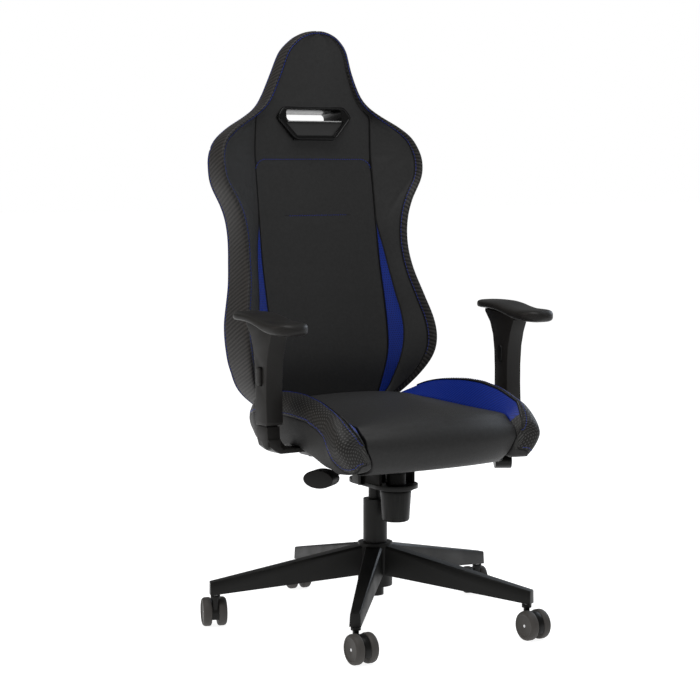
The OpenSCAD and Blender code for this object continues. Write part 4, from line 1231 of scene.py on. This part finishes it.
# an oval plug in the inner face of each sleeve, in mm: rings give a share of the radius and how far
# the plug stands out there
plugSizes = {"radius": 8, "straight": 11, "y": -62, "z": 553, "around": 40,
             "rings": [(1.0, -0.6), (1.0, 0.9), (0.94, 1.3), (0.84, 1.2), (0.78, 0.5), (0.4, 0.6)]}


def sleevePlug(side, sign):
    low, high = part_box("arm_sleeve_" + side)
    face = (low[0] if sign > 0 else high[0]) * 1000
    radius, straight, around = (plugSizes[key] for key in ("radius", "straight", "around"))
    points = []
    for share, rise in plugSizes["rings"]:
        for k in range(around):
            turn = 2 * math.pi * k / around
            a, b = radius * share * math.cos(turn), radius * share * math.sin(turn)
            points.append((face - sign * rise, plugSizes["y"] + a,
                           plugSizes["z"] + b + (straight if math.sin(turn) > 0 else -straight)))
    rings = len(plugSizes["rings"])
    faces = tubeFaces(rings, around) + capFaces(rings, around)
    plug = meshPiece("sleeve_plug_" + side, np.array(points) / 1000, faces, [knobPlastic])
    turnOutwards(plug)
    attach(plug, "arm_" + side)


for side, sign in (("left", -1), ("right", 1)):
    armPad(side)
    sleevePlug(side, sign)
    bracketGusset(side, sign)

# casters: a dark disc in a grey tread, which starts 22.2 mm from the axle
casters = ("rear_left", "front_left", "front_right", "rear_right", "rear")
discRadius = 0.0222
for caster in casters:
    for half in ("a", "b"):
        spin = jointAt["wheel_spin_%s_%s" % (half, caster)]
        centre, axle = Vector(spin["pos_m"]), Vector(spin["axis"]).normalized()

        def treadOrDisc(place, centre=centre, axle=axle):
            arm = place - centre
            return 0 if (arm - axle * arm.dot(axle)).length > discRadius else 1

        rounded("wheel_%s_%s" % (half, caster), 0.0007, [treadPlastic, wheelPlastic], pick=treadOrDisc)
    rounded("caster_hood_" + caster, 0.0012, knobPlastic)

# nodes whose CAD shape stays
kept = {"column_tube": tubePaint, "guide_bush": knobPlastic, "thrust_bearing": brightSteel,
        "piston_rod": brightSteel, "gas_cylinder": tubePaint, "valve_pin": brightSteel,
        "tilt_pivot_pin": brightSteel, "tension_spring": blackSteel, "tension_bolt": blackSteel,
        "lift_lever": blackSteel, "tilt_lock_lever": blackSteel, "seat_plate": tubePaint,
        "seat_board": boardLining, "back_bar": tubePaint, "m8_bolts": blackSteel, "back_frame": baseNylon}
for caster in casters:
    kept["caster_pins_" + caster] = brightSteel
for node, material in kept.items():
    for holder in frame["nodes"][node].material_slots:
        holder.material = material
print("hard parts made")


# soft square lamps, in metres and watts, and the strengths of the world's light and the floor's glow
lamps = {"key": {"place": (-0.7, -0.9, 3.9), "aim": (0, -0.1, 0.5), "size": 2.6, "power": 125,
                 "colour": "#ffffff"},
         "right": {"place": (3.2, 0.6, 1.8), "aim": (0, 0, 0.8), "size": 1.8, "power": 46,
                   "colour": "#e8f2ff"},
         "left": {"place": (-3.2, 1.2, 2.0), "aim": (0, 0, 0.8), "size": 1.6, "power": 22,
                  "colour": "#fff2e6"}}
studio = {"worldLight": 0.24, "floorGlow": 0.9, "floorHalf": 30}


def softLight(name, place, aim, size, power, colour):
    data = bpy.data.lights.new(name, "AREA")
    data.shape, data.size, data.energy, data.color = "SQUARE", size, power, fromHex(colour)[:3]
    lamp = bpy.data.objects.new(name, data)
    lamp.location = place
    lamp.rotation_mode = "QUATERNION"
    lamp.rotation_quaternion = (Vector(aim) - Vector(place)).to_track_quat("-Z", "Y")
    scene.collection.objects.link(lamp)


def makeSetting():
    world = bpy.data.worlds.new("studio")
    world.use_nodes = True
    tree = world.node_tree
    tree.nodes.clear()
    path = addNode(tree, "ShaderNodeLightPath")
    seen = addNode(tree, "ShaderNodeBackground", inputs={"Color": (1, 1, 1, 1), "Strength": 1.0})
    lit = addNode(tree, "ShaderNodeBackground",
                  inputs={"Color": (1, 1, 1, 1), "Strength": studio["worldLight"]})
    mixed = addNode(tree, "ShaderNodeMixShader",
                    inputs={0: path.outputs["Is Camera Ray"], 1: lit.outputs[0], 2: seen.outputs[0]})
    addNode(tree, "ShaderNodeOutputWorld", inputs={"Surface": mixed.outputs[0]})
    scene.world = world
    for name, lamp in lamps.items():
        softLight(name, **lamp)
    # painted studio floor: matt and pale
    material, tree, shader = newMaterial("pale studio floor", {
        "Base Color": fromHex("#bcbcbc"), "Roughness": 0.9, "Emission Color": (1, 1, 1, 1),
        "Emission Strength": studio["floorGlow"]})
    half = studio["floorHalf"]
    floor = meshPiece("floor", [(-half, -half, 0), (half, -half, 0), (half, half, 0), (-half, half, 0)],
                      [(0, 1, 2, 3)], [material])


makeSetting()
print("light and floor made")
